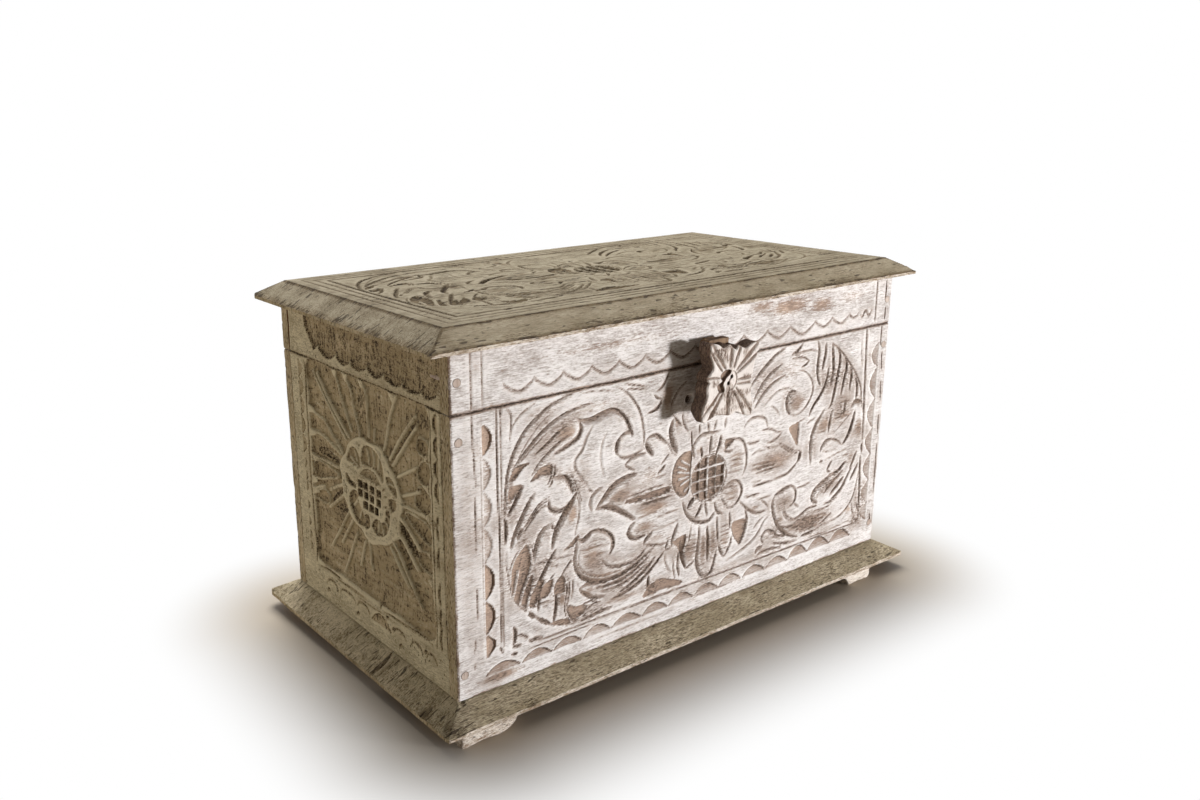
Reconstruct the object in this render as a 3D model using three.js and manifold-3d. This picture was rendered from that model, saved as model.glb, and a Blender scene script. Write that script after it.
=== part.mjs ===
// A small carved storage chest: a boarded case on a projecting base with four low feet,
// and a hinged lid, boxed up from four rails and a bevelled board, with a carved drop latch.
// Millimetres. X runs along the front, Y goes to the back, Z is up, and the floor is at 0.
import * as THREE from 'three';
import { ConvexGeometry } from 'three/addons/geometries/ConvexGeometry.js';
import { mergeVertices } from 'three/addons/utils/BufferGeometryUtils.js';
import Module from 'manifold-3d';

const wasm = await Module();
wasm.setup();

// Case
const CASE_LENGTH = 400;
const CASE_DEPTH = 218;
const WALL_HEIGHT = 179;
const BOARD_THICKNESS = 10; // the front and back boards, and the lid rails sawn off them
const END_THICKNESS = 12; // the end boards, and the lid's end rails
const GLUE_GAP = 0.3; // between two pieces that are glued or nailed together

// Base, two planks with one wide bevel round them
const BASE_OUT_END = 18.8;
const BASE_OUT_SIDE = 17.2;
const BASE_EDGE = 2.6;
const BASE_RISE = 9.6;
const BASE_LEDGE = 0.8; // flat strip left between the walls and the bevel
const BASE_JOINT = 78; // from the case's front face back to the joint of the two planks

// Feet
const FOOT_HEIGHT = 9;
const FOOT_LENGTH = 42;
const FOOT_SOLE = 27; // flat length that stands on the floor
const FOOT_DEPTH = 38;
const FOOT_INSET_LEFT = 10; // the left pair, from the base's left edge
const FOOT_INSET_RIGHT = 39; // the right pair stands further in than the left
const FOOT_INSET_SIDE = 2; // from the base's front and back edges
const FOOT_END_STEPS = 8;

// Lid
const SEAM_GAP = 0.6; // between the case and the closed lid
const RAIL_HEIGHT = 36.6;
const LID_OUT_END = 17.2;
const LID_OUT_SIDE = 9.2;
const LID_EDGE = 2.2;
const LID_RISE = 10.2;
const LID_BEVEL_END = 18.8;
const LID_BEVEL_SIDE = 16.4;

// Wooden pegs through the faces into the ends of the end boards
const PEG_RADIUS = 2.5;
const PEG_LENGTH = 24;
const PEG_OFFSET = 1; // outwards of the middle of the end board
const PEG_FROM_RIM = 16; // from the top and the foot of the walls
const FIT_GAP = 0.3; // between a round piece and its hole

// Latch, a carved block that hangs on a cross pin in front of the seam
const LATCH_X = 1.4; // the boss, from the middle of the front
const BOSS_DROP = 7.5; // the boss, below the top of the walls
const LATCH_GAP = 11; // behind the block, where a finger goes
const ROSETTE_THICKNESS = 11;
const TAPER_HEIGHT = 9; // the block's lower end, thinned from behind
const TAPER_DEPTH = 8;
const PIN_RISE = 22; // the cross pin, above the boss
const PIN_OUT = 5.2; // the cross pin, in front of the case's face
const PIN_RADIUS = 1.25;
const HANGER_WIDTH = 9;
const HANGER_EYE = 2.7;
const HANGER_TAIL = 7; // how far the hanger runs down the rail below its pin
const EAR_WIDTH = 4;
const EAR_RADIUS = 3.2;
const EAR_GAP = 0.4;
const TONGUE_THICKNESS = 2.2;
const TONGUE_TAIL = 9; // how far the tongue runs below the boss
const BRAD_RADIUS = 1;
const BRAD_SUNK = 1.6;
const BRAD_ACROSS = 1.4; // each brad, from the boss's middle
const BRAD_UP = 2;
const PEG_HOLE_X = -12; // the hole in the front board for a locking peg
const PEG_HOLE_DROP = 23.3;
const PEG_HOLE_RADIUS = 2.7;
const PEG_HOLE_DEPTH = 8;

// The block's outline seen from the front, from its boss, anticlockwise: [across, up]
const ROSETTE_OUTLINE = [
  [-24.5, -24.5], [-19.6, -25.2], [-14, -22.8], [-9.6, -22.4], [-3.3, -23.6], [1, -24.6],
  [7.2, -23.4], [11.6, -25.4], [17, -27.2], [22, -27.8], [23, -24.5], [22.6, -19.4],
  [21.1, -14.9], [21.4, -8.9], [21.7, -0.6], [22.9, 5.3], [23.9, 9.6], [26.1, 13],
  [27.1, 21.3], [21.2, 21.6], [15, 19.4], [11.3, 20.2], [8, 22.1], [4.5, 19.8],
  [0.1, 23.6], [-3.9, 22.5], [-7.5, 22.3], [-11.2, 24.9], [-17.3, 26.2], [-19.1, 22.1],
  [-18.3, 17.6], [-16.3, 12.9], [-16.1, 9.2], [-19.7, 5.5], [-20.5, 2.3], [-19.2, 0.8],
  [-20.4, -0.8], [-21.2, -4.5], [-20.6, -7.6], [-22, -11.8], [-24.1, -16],
];

// Main forms of the carving on the front and on the lid. Places are [across, up] from the flower's middle
const CARVING_DEPTH = 1.2;
const FRONT_FLOWER = [9, 96]; // from the middle of the front, and above its foot
const DISC_CELLS = [-12, -4, 4, 12]; // middles of the hatched disc's hollows, both ways
const DISC_CELL = 5.4;
const DISC_RADIUS = 17;
const PETAL_OUT = 27; // the middle of each petal, from the flower's middle
const PETAL_LONG = 13;
const PETAL_WIDE = 10;
const PETAL_TURNS = [18, 62, 108, 160, 205, 245, 290, 335]; // degrees
const PETAL_SIDES = 8;
const GOUGE_WIDTH = 3.6;
const GOUGES = [
  // Left end, from the top: scroll arm, feathers, blades
  [[-106, 73], [-129, 69.5], [-149, 59], [-163, 44], [-171, 24], [-172, 0]],
  [[-118, 65], [-97, 64], [-78, 58], [-72, 45], [-86, 40], [-82, 32], [-62, 33]],
  [[-150, 24], [-163, 7], [-169, -8]],
  [[-118, 17], [-131, 1], [-137, -16]],
  [[-134, -17], [-147, -34], [-154, -47]],
  [[-171, -24], [-163, -46], [-144, -63], [-121, -71], [-92, -71]],
  // Lower left scroll and its tail
  [[-111, -14], [-98, -13], [-87, -24], [-92, -33]],
  [[-117, -12], [-120, -28], [-108, -46], [-84, -50], [-58, -41]],
  [[-90, -65], [-66, -61], [-41, -43]],
  // Left leaf and the lobes above it
  [[-102, 4], [-84, 16], [-64, 19]],
  [[-102, 0], [-81, -6], [-66, -14]],
  [[-79, 2], [-58, 2], [-38, 0]],
  [[-60, 38], [-50, 41], [-41, 33]],
  [[-36, 50], [-39, 38], [-33, 26]],
  // Long petals that hang from the flower
  [[-17, -34], [-25, -47], [-20, -62]],
  [[-9, -36], [-10, -58], [-2, -72], [10, -54]],
  [[14, -36], [15, -50], [18, -64]],
  [[21, -63], [25, -55], [26, -46]],
  // Right leaf and the hollow under it
  [[44, -4], [68, -5], [94, 0]],
  [[38, 17], [56, 20], [76, 18]],
  [[32, -27], [47, -38], [63, -37]],
  // Upper right scroll
  [[38, 58], [55, 73], [72, 80]],
  [[41, 44], [59, 64], [76, 69]],
  [[87, 46], [77, 42], [79, 33], [94, 30], [105, 45], [94, 60]],
  // Right feathers
  [[109, 79], [109, 61], [114, 46]],
  [[122, 60], [119, 45], [103, 25]],
  [[135, 70], [132, 44], [124, 28]],
  [[146, 62], [143, 47], [138, 34]],
  [[120, 25], [108, 10], [107, -13]],
  [[157, 19], [154, 5], [145, -5]],
  // Lower right scroll and blades
  [[88, -26], [68, -30], [70, -48], [84, -64], [98, -69]],
  [[132, -28], [112, -38], [119, -47]],
  [[151, -24], [134, -35], [125, -43]],
  [[158, -36], [142, -48], [128, -52]],
  [[87, -55], [103, -54], [121, -58]],
];
const FRAME_LINE_WIDTH = 2;
const FRONT_FRAME = { left: -168, right: 176, bottom: 21, top: 172 };
const SCALLOP_HEIGHT = 6;
const FOOT_SCALLOPS = { chord: 10.5, from: -181, to: 172, count: 14 };
const LEFT_SCALLOPS = { chord: -179, from: 24, to: 168, count: 6 };
const RIGHT_SCALLOPS = { chord: 189, from: 24, to: 168, count: 6 };
const LID_FRAME = { across: 176, up: 81 }; // half the grooves' rectangle each way
const LID_FRAME_WIDTH = 2.8;

// Butt hinges on the back, one near each end
const HINGE_X = 120;
const HINGE_WIDTH = 32;
const LEAF_HEIGHT = 17;
const LEAF_THICKNESS = 1.2;
const LEAF_SHOULDER = 0.4; // between a leaf's edge and the other leaf's knuckle
const KNUCKLE_RADIUS = 2.4;
const KNUCKLE_LENGTH = 10;
const KNUCKLE_GAP = 0.4;
const HINGE_PIN_RADIUS = 1;
const SCREW_ACROSS = 9; // each screw, from the hinge's middle
const SCREW_FROM_AXIS = 10;
const SCREW_SHANK_RADIUS = 1.1;
const SCREW_LENGTH = 8;
const SCREW_HEAD_RADIUS = 2.1;
const SCREW_HEAD_HEIGHT = 0.9;
const SCREW_SEAT = 0.1;
const SCREW_TIP_GAP = 0.6;

const ROUND_SIDES = 20;
const SMALL_SIDES = 12;

// Levels and faces that the pieces share
const baseBottom = FOOT_HEIGHT + GLUE_GAP;
const baseTop = baseBottom + BASE_EDGE + BASE_RISE;
const wallBottom = baseTop + GLUE_GAP;
const wallTop = baseTop + WALL_HEIGHT;
const lidBottom = wallTop + SEAM_GAP;
const railTop = lidBottom + RAIL_HEIGHT;
const lidBoardBottom = railTop + GLUE_GAP;
const lidTop = lidBoardBottom + LID_EDGE + LID_RISE;
const endFace = CASE_LENGTH / 2;
const backFace = CASE_DEPTH / 2;
const frontFace = -backFace;
const pegX = endFace - END_THICKNESS / 2 + PEG_OFFSET;
const bossZ = wallTop - BOSS_DROP;
const latchPinY = frontFace - PIN_OUT;
const latchPinZ = bossZ + PIN_RISE;
const rosetteBack = frontFace - LATCH_GAP;
const rosetteFront = rosetteBack - ROSETTE_THICKNESS;
const tongueWidth = HANGER_WIDTH + 2 * (EAR_GAP + EAR_WIDTH);
const tongueFront = rosetteBack + GLUE_GAP;
const tongueBack = tongueFront + TONGUE_THICKNESS;
const hingeY = backFace + GLUE_GAP + KNUCKLE_RADIUS;
const hingeZ = wallTop + SEAM_GAP / 2;

// Materials
const whiteWash = () => new THREE.MeshStandardMaterial({ color: 0xd6cac0, roughness: 0.85, metalness: 0 });
const greyWash = () => new THREE.MeshStandardMaterial({ color: 0xa39c8a, roughness: 0.88, metalness: 0 });
const footWash = () => new THREE.MeshStandardMaterial({ color: 0xa89a88, roughness: 0.88, metalness: 0 });
const latchWash = () => new THREE.MeshStandardMaterial({ color: 0xcdc2b6, roughness: 0.85, metalness: 0 });
const bareWood = () => new THREE.MeshStandardMaterial({ color: 0x9c7d66, roughness: 0.8, metalness: 0 });
const darkIron = () => new THREE.MeshStandardMaterial({ color: 0x3a3632, roughness: 0.55, metalness: 0.9 });
const agedBrass = () => new THREE.MeshStandardMaterial({ color: 0x8f7443, roughness: 0.45, metalness: 0.95 });

const chest = new THREE.Group();

function addPiece(name, geometry, material) {
  const mesh = new THREE.Mesh(geometry, material);
  mesh.name = name;
  chest.add(mesh);
}

// Shapes
function block(x0, x1, y0, y1, z0, z1) {
  const geometry = new THREE.BoxGeometry(x1 - x0, y1 - y0, z1 - z0);
  return geometry.translate((x0 + x1) / 2, (y0 + y1) / 2, (z0 + z1) / 2);
}

function rodAlongX(radius, length, x, y, z) {
  const geometry = new THREE.CylinderGeometry(radius, radius, length, ROUND_SIDES);
  return geometry.rotateZ(Math.PI / 2).translate(x, y, z);
}

function rodAlongY(radius, y0, y1, x, z, sides = ROUND_SIDES) {
  const geometry = new THREE.CylinderGeometry(radius, radius, y1 - y0, sides);
  return geometry.translate(x, (y0 + y1) / 2, z);
}

// An outline of [y, z] points, carried along X
function sideProfile(shape, x0, x1) {
  const geometry = new THREE.ExtrudeGeometry(shape, { depth: x1 - x0, bevelEnabled: false, curveSegments: SMALL_SIDES });
  const turn = new THREE.Matrix4().makeBasis(
    new THREE.Vector3(0, 1, 0),
    new THREE.Vector3(0, 0, 1),
    new THREE.Vector3(1, 0, 0),
  );
  return geometry.applyMatrix4(turn).translate(x0, 0, 0);
}

// An outline of [x, z] points, carried forwards from backY
function frontProfile(shape, backY, depth) {
  const geometry = new THREE.ExtrudeGeometry(shape, { depth, bevelEnabled: false });
  const turn = new THREE.Matrix4().makeBasis(
    new THREE.Vector3(1, 0, 0),
    new THREE.Vector3(0, 0, 1),
    new THREE.Vector3(0, -1, 0),
  );
  return geometry.applyMatrix4(turn).translate(0, backY, 0);
}

// A board with an upright edge all round and a bevel above it, as wide as run says on each side
function bevelledBoard([x0, x1], [y0, y1], bottom, edge, rise, run) {
  const points = [];
  for (const [x, inward] of [[x0, run.left], [x1, -run.right]]) {
    for (const [y, forward] of [[y0, run.front], [y1, -run.back]]) {
      points.push(new THREE.Vector3(x, y, bottom));
      points.push(new THREE.Vector3(x, y, bottom + edge));
      points.push(new THREE.Vector3(x + inward, y + forward, bottom + edge + rise));
    }
  }
  return new ConvexGeometry(points);
}

function toSolid(geometry) {
  const bare = geometry.clone();
  bare.deleteAttribute('normal');
  bare.deleteAttribute('uv');
  const merged = mergeVertices(bare);
  const vertProperties = new Float32Array(merged.attributes.position.array);
  const triVerts = new Uint32Array(merged.index.array);
  return new wasm.Manifold(new wasm.Mesh({ numProp: 3, vertProperties, triVerts }));
}

function toGeometry(solid) {
  const mesh = solid.getMesh();
  const geometry = new THREE.BufferGeometry();
  geometry.setAttribute('position', new THREE.BufferAttribute(mesh.vertProperties, 3));
  geometry.setIndex(new THREE.BufferAttribute(mesh.triVerts, 1));
  geometry.computeVertexNormals();
  return geometry;
}

function cutAway(geometry, tools) {
  let solid = toSolid(geometry);
  for (const tool of tools) solid = solid.subtract(toSolid(tool));
  return toGeometry(solid);
}

function joinUp(geometries) {
  let solid = toSolid(geometries[0]);
  for (const geometry of geometries.slice(1)) solid = solid.add(toSolid(geometry));
  return toGeometry(solid);
}

// Case walls. Each peg runs in from the face that side names: -1 front, 1 back
const wallPegHeights = [wallBottom + PEG_FROM_RIM, wallTop - PEG_FROM_RIM];
const lidPegHeights = [(lidBottom + railTop) / 2];

function pegHoles(heights) {
  const holes = [];
  for (const side of [-1, 1]) {
    const outside = side * (backFace + FIT_GAP);
    const inside = side * (backFace - PEG_LENGTH - FIT_GAP);
    for (const end of [-1, 1]) {
      for (const height of heights) {
        const span = [Math.min(outside, inside), Math.max(outside, inside)];
        holes.push(rodAlongY(PEG_RADIUS + FIT_GAP, span[0], span[1], end * pegX, height));
      }
    }
  }
  return holes;
}

function screwHoles(side) {
  const holes = [];
  for (const x of screwPlaces()) {
    const z = hingeZ + side * SCREW_FROM_AXIS;
    const depth = SCREW_LENGTH + SCREW_TIP_GAP - GLUE_GAP - LEAF_THICKNESS - SCREW_SEAT;
    const radius = SCREW_SHANK_RADIUS + FIT_GAP;
    holes.push(rodAlongY(radius, backFace - depth, backFace + FIT_GAP, x, z, SMALL_SIDES));
  }
  return holes;
}

function screwPlaces() {
  return [-1, 1].flatMap((end) => [-1, 1].map((half) => end * HINGE_X + half * SCREW_ACROSS));
}

function longBoard(side, z0, z1, holes) {
  const inner = side * (backFace - BOARD_THICKNESS);
  const outer = side * backFace;
  const board = block(-endFace, endFace, Math.min(inner, outer), Math.max(inner, outer), z0, z1);
  return cutAway(board, holes);
}

// A gouged line as a flat band that narrows to a point at both ends
function gouge(points, width) {
  const last = points.length - 1;
  const sides = [[], []];
  points.slice(1, last).forEach(([across, up], index) => {
    const [a, b] = [points[index], points[index + 2]];
    const run = Math.hypot(b[0] - a[0], b[1] - a[1]);
    const aside = [-(b[1] - a[1]) / run, (b[0] - a[0]) / run];
    [-1, 1].forEach((way, side) => {
      const shift = way * width / 2;
      sides[side].push([across + shift * aside[0], up + shift * aside[1]]);
    });
  });
  return [points[0], ...sides[0], points[last], ...sides[1].reverse()];
}

// A straight groove that stops one width short of both places, so that grooves round a corner don't meet
function straightGroove(from, to, width) {
  const length = Math.hypot(to[0] - from[0], to[1] - from[1]);
  const point = (along) => from.map((value, axis) => value + (along / length) * (to[axis] - value));
  return gouge([width, 2 * width, length - 2 * width, length - width].map(point), width);
}

function petal(degrees) {
  const turn = degrees * Math.PI / 180;
  const out = [Math.cos(turn), Math.sin(turn)];
  return Array.from({ length: PETAL_SIDES }, (_, side) => {
    const angle = (side + 0.5) / PETAL_SIDES * 2 * Math.PI;
    const along = PETAL_OUT + PETAL_WIDE / 2 * Math.cos(angle);
    const aside = PETAL_LONG / 2 * Math.sin(angle);
    return [along * out[0] - aside * out[1], along * out[1] + aside * out[0]];
  });
}

function discCells() {
  const half = DISC_CELL / 2;
  return DISC_CELLS.flatMap((across) => DISC_CELLS.map((up) => [across, up]))
    .filter(([across, up]) => Math.hypot(across, up) < DISC_RADIUS - half)
    .map(([across, up]) => [
      [across - half, up - half], [across + half, up - half], [across + half, up + half], [across - half, up + half],
    ]);
}

// The flower and the leaves on both sides of it, as closed outlines from the flower's middle
function leafwork() {
  return [...discCells(), ...PETAL_TURNS.map(petal), ...GOUGES.map((points) => gouge(points, GOUGE_WIDTH))];
}

// A row of half moons. Each one's chord lies along the row, and its arc rises by height
function halfMoons({ chord, from, to, count }, height) {
  const pitch = (to - from) / count;
  return Array.from({ length: count }, (_, index) => {
    const start = from + (index + 0.04) * pitch;
    return [0, 0.2, 0.5, 0.8, 1].map((share) => {
      const rise = 4 * share * (1 - share) * height;
      return [start + share * pitch * 0.92, chord + rise];
    });
  });
}

function frontCarving() {
  const [middle, rise] = FRONT_FLOWER;
  const { left, right, bottom, top } = FRONT_FRAME;
  const lines = [
    [[left, bottom], [left, top]],
    [[right, bottom], [right, top]],
    [[left, bottom], [right, bottom]],
  ];
  const upright = (row, height) => halfMoons(row, height).map((moon) => moon.map(([z, x]) => [x, z]));
  const outlines = [
    ...leafwork().map((outline) => outline.map(([across, up]) => [middle + across, rise + up])),
    ...lines.map(([from, to]) => straightGroove(from, to, FRAME_LINE_WIDTH)),
    ...halfMoons(FOOT_SCALLOPS, SCALLOP_HEIGHT),
    ...upright(LEFT_SCALLOPS, SCALLOP_HEIGHT),
    ...upright(RIGHT_SCALLOPS, -SCALLOP_HEIGHT),
  ];
  return outlines.map((outline) => {
    const shape = new THREE.Shape(outline.map(([x, up]) => new THREE.Vector2(x, baseTop + up)));
    return frontProfile(shape, frontFace + CARVING_DEPTH, CARVING_DEPTH + FIT_GAP);
  });
}

function lidCarving() {
  const { across, up } = LID_FRAME;
  const corners = [[-across, -up], [across, -up], [across, up], [-across, up]];
  const outlines = [
    ...leafwork(),
    ...corners.map((corner, index) => straightGroove(corner, corners[(index + 1) % 4], LID_FRAME_WIDTH)),
  ];
  return outlines.map((outline) => {
    const shape = new THREE.Shape(outline.map(([x, y]) => new THREE.Vector2(x, y)));
    const tool = new THREE.ExtrudeGeometry(shape, { depth: CARVING_DEPTH + FIT_GAP, bevelEnabled: false });
    return tool.translate(0, 0, lidTop - CARVING_DEPTH);
  });
}

function shortBoard(end, z0, z1, holes) {
  const inner = end * (endFace - END_THICKNESS);
  const outer = end * endFace;
  const reach = backFace - BOARD_THICKNESS - GLUE_GAP;
  const board = block(Math.min(inner, outer), Math.max(inner, outer), -reach, reach, z0, z1);
  return cutAway(board, holes);
}

function lockingPegHole() {
  const inside = frontFace + PEG_HOLE_DEPTH;
  return rodAlongY(PEG_HOLE_RADIUS, frontFace - FIT_GAP, inside, PEG_HOLE_X, wallTop - PEG_HOLE_DROP);
}

function addCase() {
  const holes = pegHoles(wallPegHeights);
  const frontCuts = [...holes, lockingPegHole(), ...frontCarving()];
  addPiece('front_board', longBoard(-1, wallBottom, wallTop, frontCuts), whiteWash());
  addPiece('back_board', longBoard(1, wallBottom, wallTop, [...holes, ...screwHoles(-1)]), whiteWash());
  addPiece('left_end_board', shortBoard(-1, wallBottom, wallTop, holes), greyWash());
  addPiece('right_end_board', shortBoard(1, wallBottom, wallTop, holes), greyWash());
}

function addPegs(prefix, heights, levels) {
  for (const [side, sideName] of [[-1, 'front'], [1, 'back']]) {
    for (const [end, endName] of [[-1, 'left'], [1, 'right']]) {
      heights.forEach((height, index) => {
        const tip = side * (backFace - PEG_LENGTH);
        const face = side * backFace;
        const peg = rodAlongY(PEG_RADIUS, Math.min(tip, face), Math.max(tip, face), end * pegX, height);
        addPiece([prefix, sideName, endName, ...levels[index]].join('_'), peg, bareWood());
      });
    }
  }
}

// Base
function addBase() {
  const halfLength = endFace + BASE_OUT_END;
  const halfDepth = backFace + BASE_OUT_SIDE;
  const jointY = frontFace + BASE_JOINT;
  const runEnd = BASE_OUT_END - BASE_LEDGE;
  const runSide = BASE_OUT_SIDE - BASE_LEDGE;
  const width = [-halfLength, halfLength];
  const runFront = { left: runEnd, right: runEnd, front: runSide, back: 0 };
  const runBack = { left: runEnd, right: runEnd, front: 0, back: runSide };
  const frontSpan = [-halfDepth, jointY - GLUE_GAP / 2];
  const backSpan = [jointY + GLUE_GAP / 2, halfDepth];
  addPiece('base_plank_front', bevelledBoard(width, frontSpan, baseBottom, BASE_EDGE, BASE_RISE, runFront), greyWash());
  addPiece('base_plank_back', bevelledBoard(width, backSpan, baseBottom, BASE_EDGE, BASE_RISE, runBack), greyWash());
}

// A foot seen from the front: upright outer end, flat sole, and an inner end that rises as a
// quarter of an oval, hollow on a coved foot and full on a rounded one
function footShape(outerX, inward, isCoved) {
  const shape = new THREE.Shape();
  const reach = FOOT_LENGTH - FOOT_SOLE;
  shape.moveTo(outerX, FOOT_HEIGHT);
  shape.lineTo(outerX, 0);
  for (let step = 0; step <= FOOT_END_STEPS; step += 1) {
    const angle = (step / FOOT_END_STEPS) * (Math.PI / 2);
    const out = isCoved ? 1 - Math.cos(angle) : Math.sin(angle);
    const up = isCoved ? Math.sin(angle) : 1 - Math.cos(angle);
    shape.lineTo(outerX + inward * (FOOT_SOLE + reach * out), FOOT_HEIGHT * up);
  }
  return shape;
}

function addFeet() {
  const frontEdge = frontFace - BASE_OUT_SIDE + FOOT_INSET_SIDE;
  const leftEnd = -endFace - BASE_OUT_END + FOOT_INSET_LEFT;
  const rightEnd = endFace + BASE_OUT_END - FOOT_INSET_RIGHT;
  const rows = [['front', frontEdge + FOOT_DEPTH], ['back', -frontEdge]];
  for (const [row, backY] of rows) {
    const left = footShape(leftEnd, 1, false);
    const right = footShape(rightEnd, -1, true);
    addPiece(`foot_${row}_left`, frontProfile(left, backY, FOOT_DEPTH), footWash());
    addPiece(`foot_${row}_right`, frontProfile(right, backY, FOOT_DEPTH), footWash());
  }
}

// Lid
function addLid() {
  const holes = pegHoles(lidPegHeights);
  addPiece('lid_front_rail', longBoard(-1, lidBottom, railTop, holes), whiteWash());
  addPiece('lid_back_rail', longBoard(1, lidBottom, railTop, [...holes, ...screwHoles(1)]), whiteWash());
  addPiece('lid_left_rail', shortBoard(-1, lidBottom, railTop, holes), greyWash());
  addPiece('lid_right_rail', shortBoard(1, lidBottom, railTop, holes), greyWash());
  const width = [-endFace - LID_OUT_END, endFace + LID_OUT_END];
  const depth = [frontFace - LID_OUT_SIDE, backFace + LID_OUT_SIDE];
  const run = { left: LID_BEVEL_END, right: LID_BEVEL_END, front: LID_BEVEL_SIDE, back: LID_BEVEL_SIDE };
  const board = bevelledBoard(width, depth, lidBoardBottom, LID_EDGE, LID_RISE, run);
  addPiece('lid_board', cutAway(board, lidCarving()), greyWash());
}

// Latch
const bradPlaces = [['upper', 1], ['lower', -1]];

function bradHoles() {
  const span = [rosetteFront - FIT_GAP, tongueBack + FIT_GAP];
  return bradPlaces.map(([, way]) => rodAlongY(
    BRAD_RADIUS + FIT_GAP, span[0], span[1], LATCH_X + way * BRAD_ACROSS, bossZ + way * BRAD_UP, SMALL_SIDES,
  ));
}

// The wedge taken off the back of the block's lower end
function lowerTaper() {
  const lowest = bossZ + Math.min(...ROSETTE_OUTLINE.map(([, up]) => up));
  const shape = new THREE.Shape([
    new THREE.Vector2(rosetteBack + FIT_GAP, lowest - FIT_GAP),
    new THREE.Vector2(rosetteBack + FIT_GAP, lowest + TAPER_HEIGHT),
    new THREE.Vector2(rosetteBack, lowest + TAPER_HEIGHT),
    new THREE.Vector2(rosetteBack - TAPER_DEPTH, lowest - FIT_GAP),
  ]);
  const reach = Math.max(...ROSETTE_OUTLINE.map(([across]) => Math.abs(across))) + FIT_GAP;
  return sideProfile(shape, LATCH_X - reach, LATCH_X + reach);
}

function rosette() {
  const points = ROSETTE_OUTLINE.map(([across, up]) => new THREE.Vector2(LATCH_X + across, bossZ + up));
  const slab = frontProfile(new THREE.Shape(points), rosetteBack, ROSETTE_THICKNESS);
  return cutAway(slab, [lowerTaper(), ...bradHoles()]);
}

// An eye round the cross pin with a flat-sided root that ends at rootY
function eyeShape(radius, rootY, rootTop, rootBottom) {
  const shape = new THREE.Shape();
  const forwards = Math.sign(latchPinY - rootY);
  shape.moveTo(rootY, rootTop);
  for (let step = 0; step <= SMALL_SIDES; step += 1) {
    const angle = Math.PI / 2 - (step / SMALL_SIDES) * Math.PI;
    shape.lineTo(latchPinY + forwards * radius * Math.cos(angle), latchPinZ + radius * Math.sin(angle));
  }
  shape.lineTo(rootY, rootBottom);
  return shape;
}

function latchPinHole() {
  return rodAlongX(PIN_RADIUS + FIT_GAP, tongueWidth + 2 * FIT_GAP, LATCH_X, latchPinY, latchPinZ);
}

function tongue() {
  const half = tongueWidth / 2;
  const top = latchPinZ + EAR_RADIUS;
  const plate = block(LATCH_X - half, LATCH_X + half, tongueFront, tongueBack, bossZ - TONGUE_TAIL, top);
  const ear = eyeShape(EAR_RADIUS, (tongueFront + tongueBack) / 2, top, latchPinZ - EAR_RADIUS);
  const leftEar = sideProfile(ear, LATCH_X - half, LATCH_X - half + EAR_WIDTH);
  const rightEar = sideProfile(ear, LATCH_X + half - EAR_WIDTH, LATCH_X + half);
  return cutAway(joinUp([plate, leftEar, rightEar]), [latchPinHole(), ...bradHoles()]);
}

function hanger() {
  const root = frontFace - GLUE_GAP;
  const shape = eyeShape(HANGER_EYE, root, latchPinZ + HANGER_EYE, latchPinZ - HANGER_TAIL);
  const body = sideProfile(shape, LATCH_X - HANGER_WIDTH / 2, LATCH_X + HANGER_WIDTH / 2);
  return cutAway(body, [latchPinHole()]);
}

function addLatch() {
  addPiece('latch_rosette', rosette(), latchWash());
  addPiece('latch_tongue', tongue(), latchWash());
  addPiece('latch_hanger', hanger(), whiteWash());
  addPiece('latch_pin', rodAlongX(PIN_RADIUS, tongueWidth, LATCH_X, latchPinY, latchPinZ), darkIron());
  for (const [level, way] of bradPlaces) {
    const x = LATCH_X + way * BRAD_ACROSS;
    const z = bossZ + way * BRAD_UP;
    const brad = rodAlongY(BRAD_RADIUS, rosetteFront + BRAD_SUNK, tongueBack, x, z, SMALL_SIDES);
    addPiece(`latch_brad_${level}`, brad, darkIron());
  }
}

// Hinges
function hingeBore(x) {
  return rodAlongX(HINGE_PIN_RADIUS + FIT_GAP, HINGE_WIDTH + 2 * FIT_GAP, x, hingeY, hingeZ);
}

// A leaf with its knuckles: side -1 hangs below the axis, on the case, and 1 stands above it, on the lid
function hingeLeaf(x, side, knuckles) {
  const leafIn = backFace + GLUE_GAP;
  const leafOut = leafIn + LEAF_THICKNESS;
  const near = hingeZ + side * (KNUCKLE_RADIUS + LEAF_SHOULDER);
  const far = hingeZ + side * LEAF_HEIGHT;
  const half = HINGE_WIDTH / 2;
  const pieces = [block(x - half, x + half, leafIn, leafOut, Math.min(near, far), Math.max(near, far))];
  for (const [from, to] of knuckles) {
    const middle = x + (from + to) / 2;
    pieces.push(rodAlongX(KNUCKLE_RADIUS, to - from, middle, hingeY, hingeZ));
    pieces.push(block(x + from, x + to, leafIn, leafOut, Math.min(near, hingeZ), Math.max(near, hingeZ)));
  }
  const holes = [-1, 1].map((half) => rodAlongY(
    SCREW_SHANK_RADIUS + FIT_GAP, leafIn - FIT_GAP, leafOut + FIT_GAP,
    x + half * SCREW_ACROSS, hingeZ + side * SCREW_FROM_AXIS, SMALL_SIDES,
  ));
  return cutAway(joinUp(pieces), [hingeBore(x), ...holes]);
}

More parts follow.
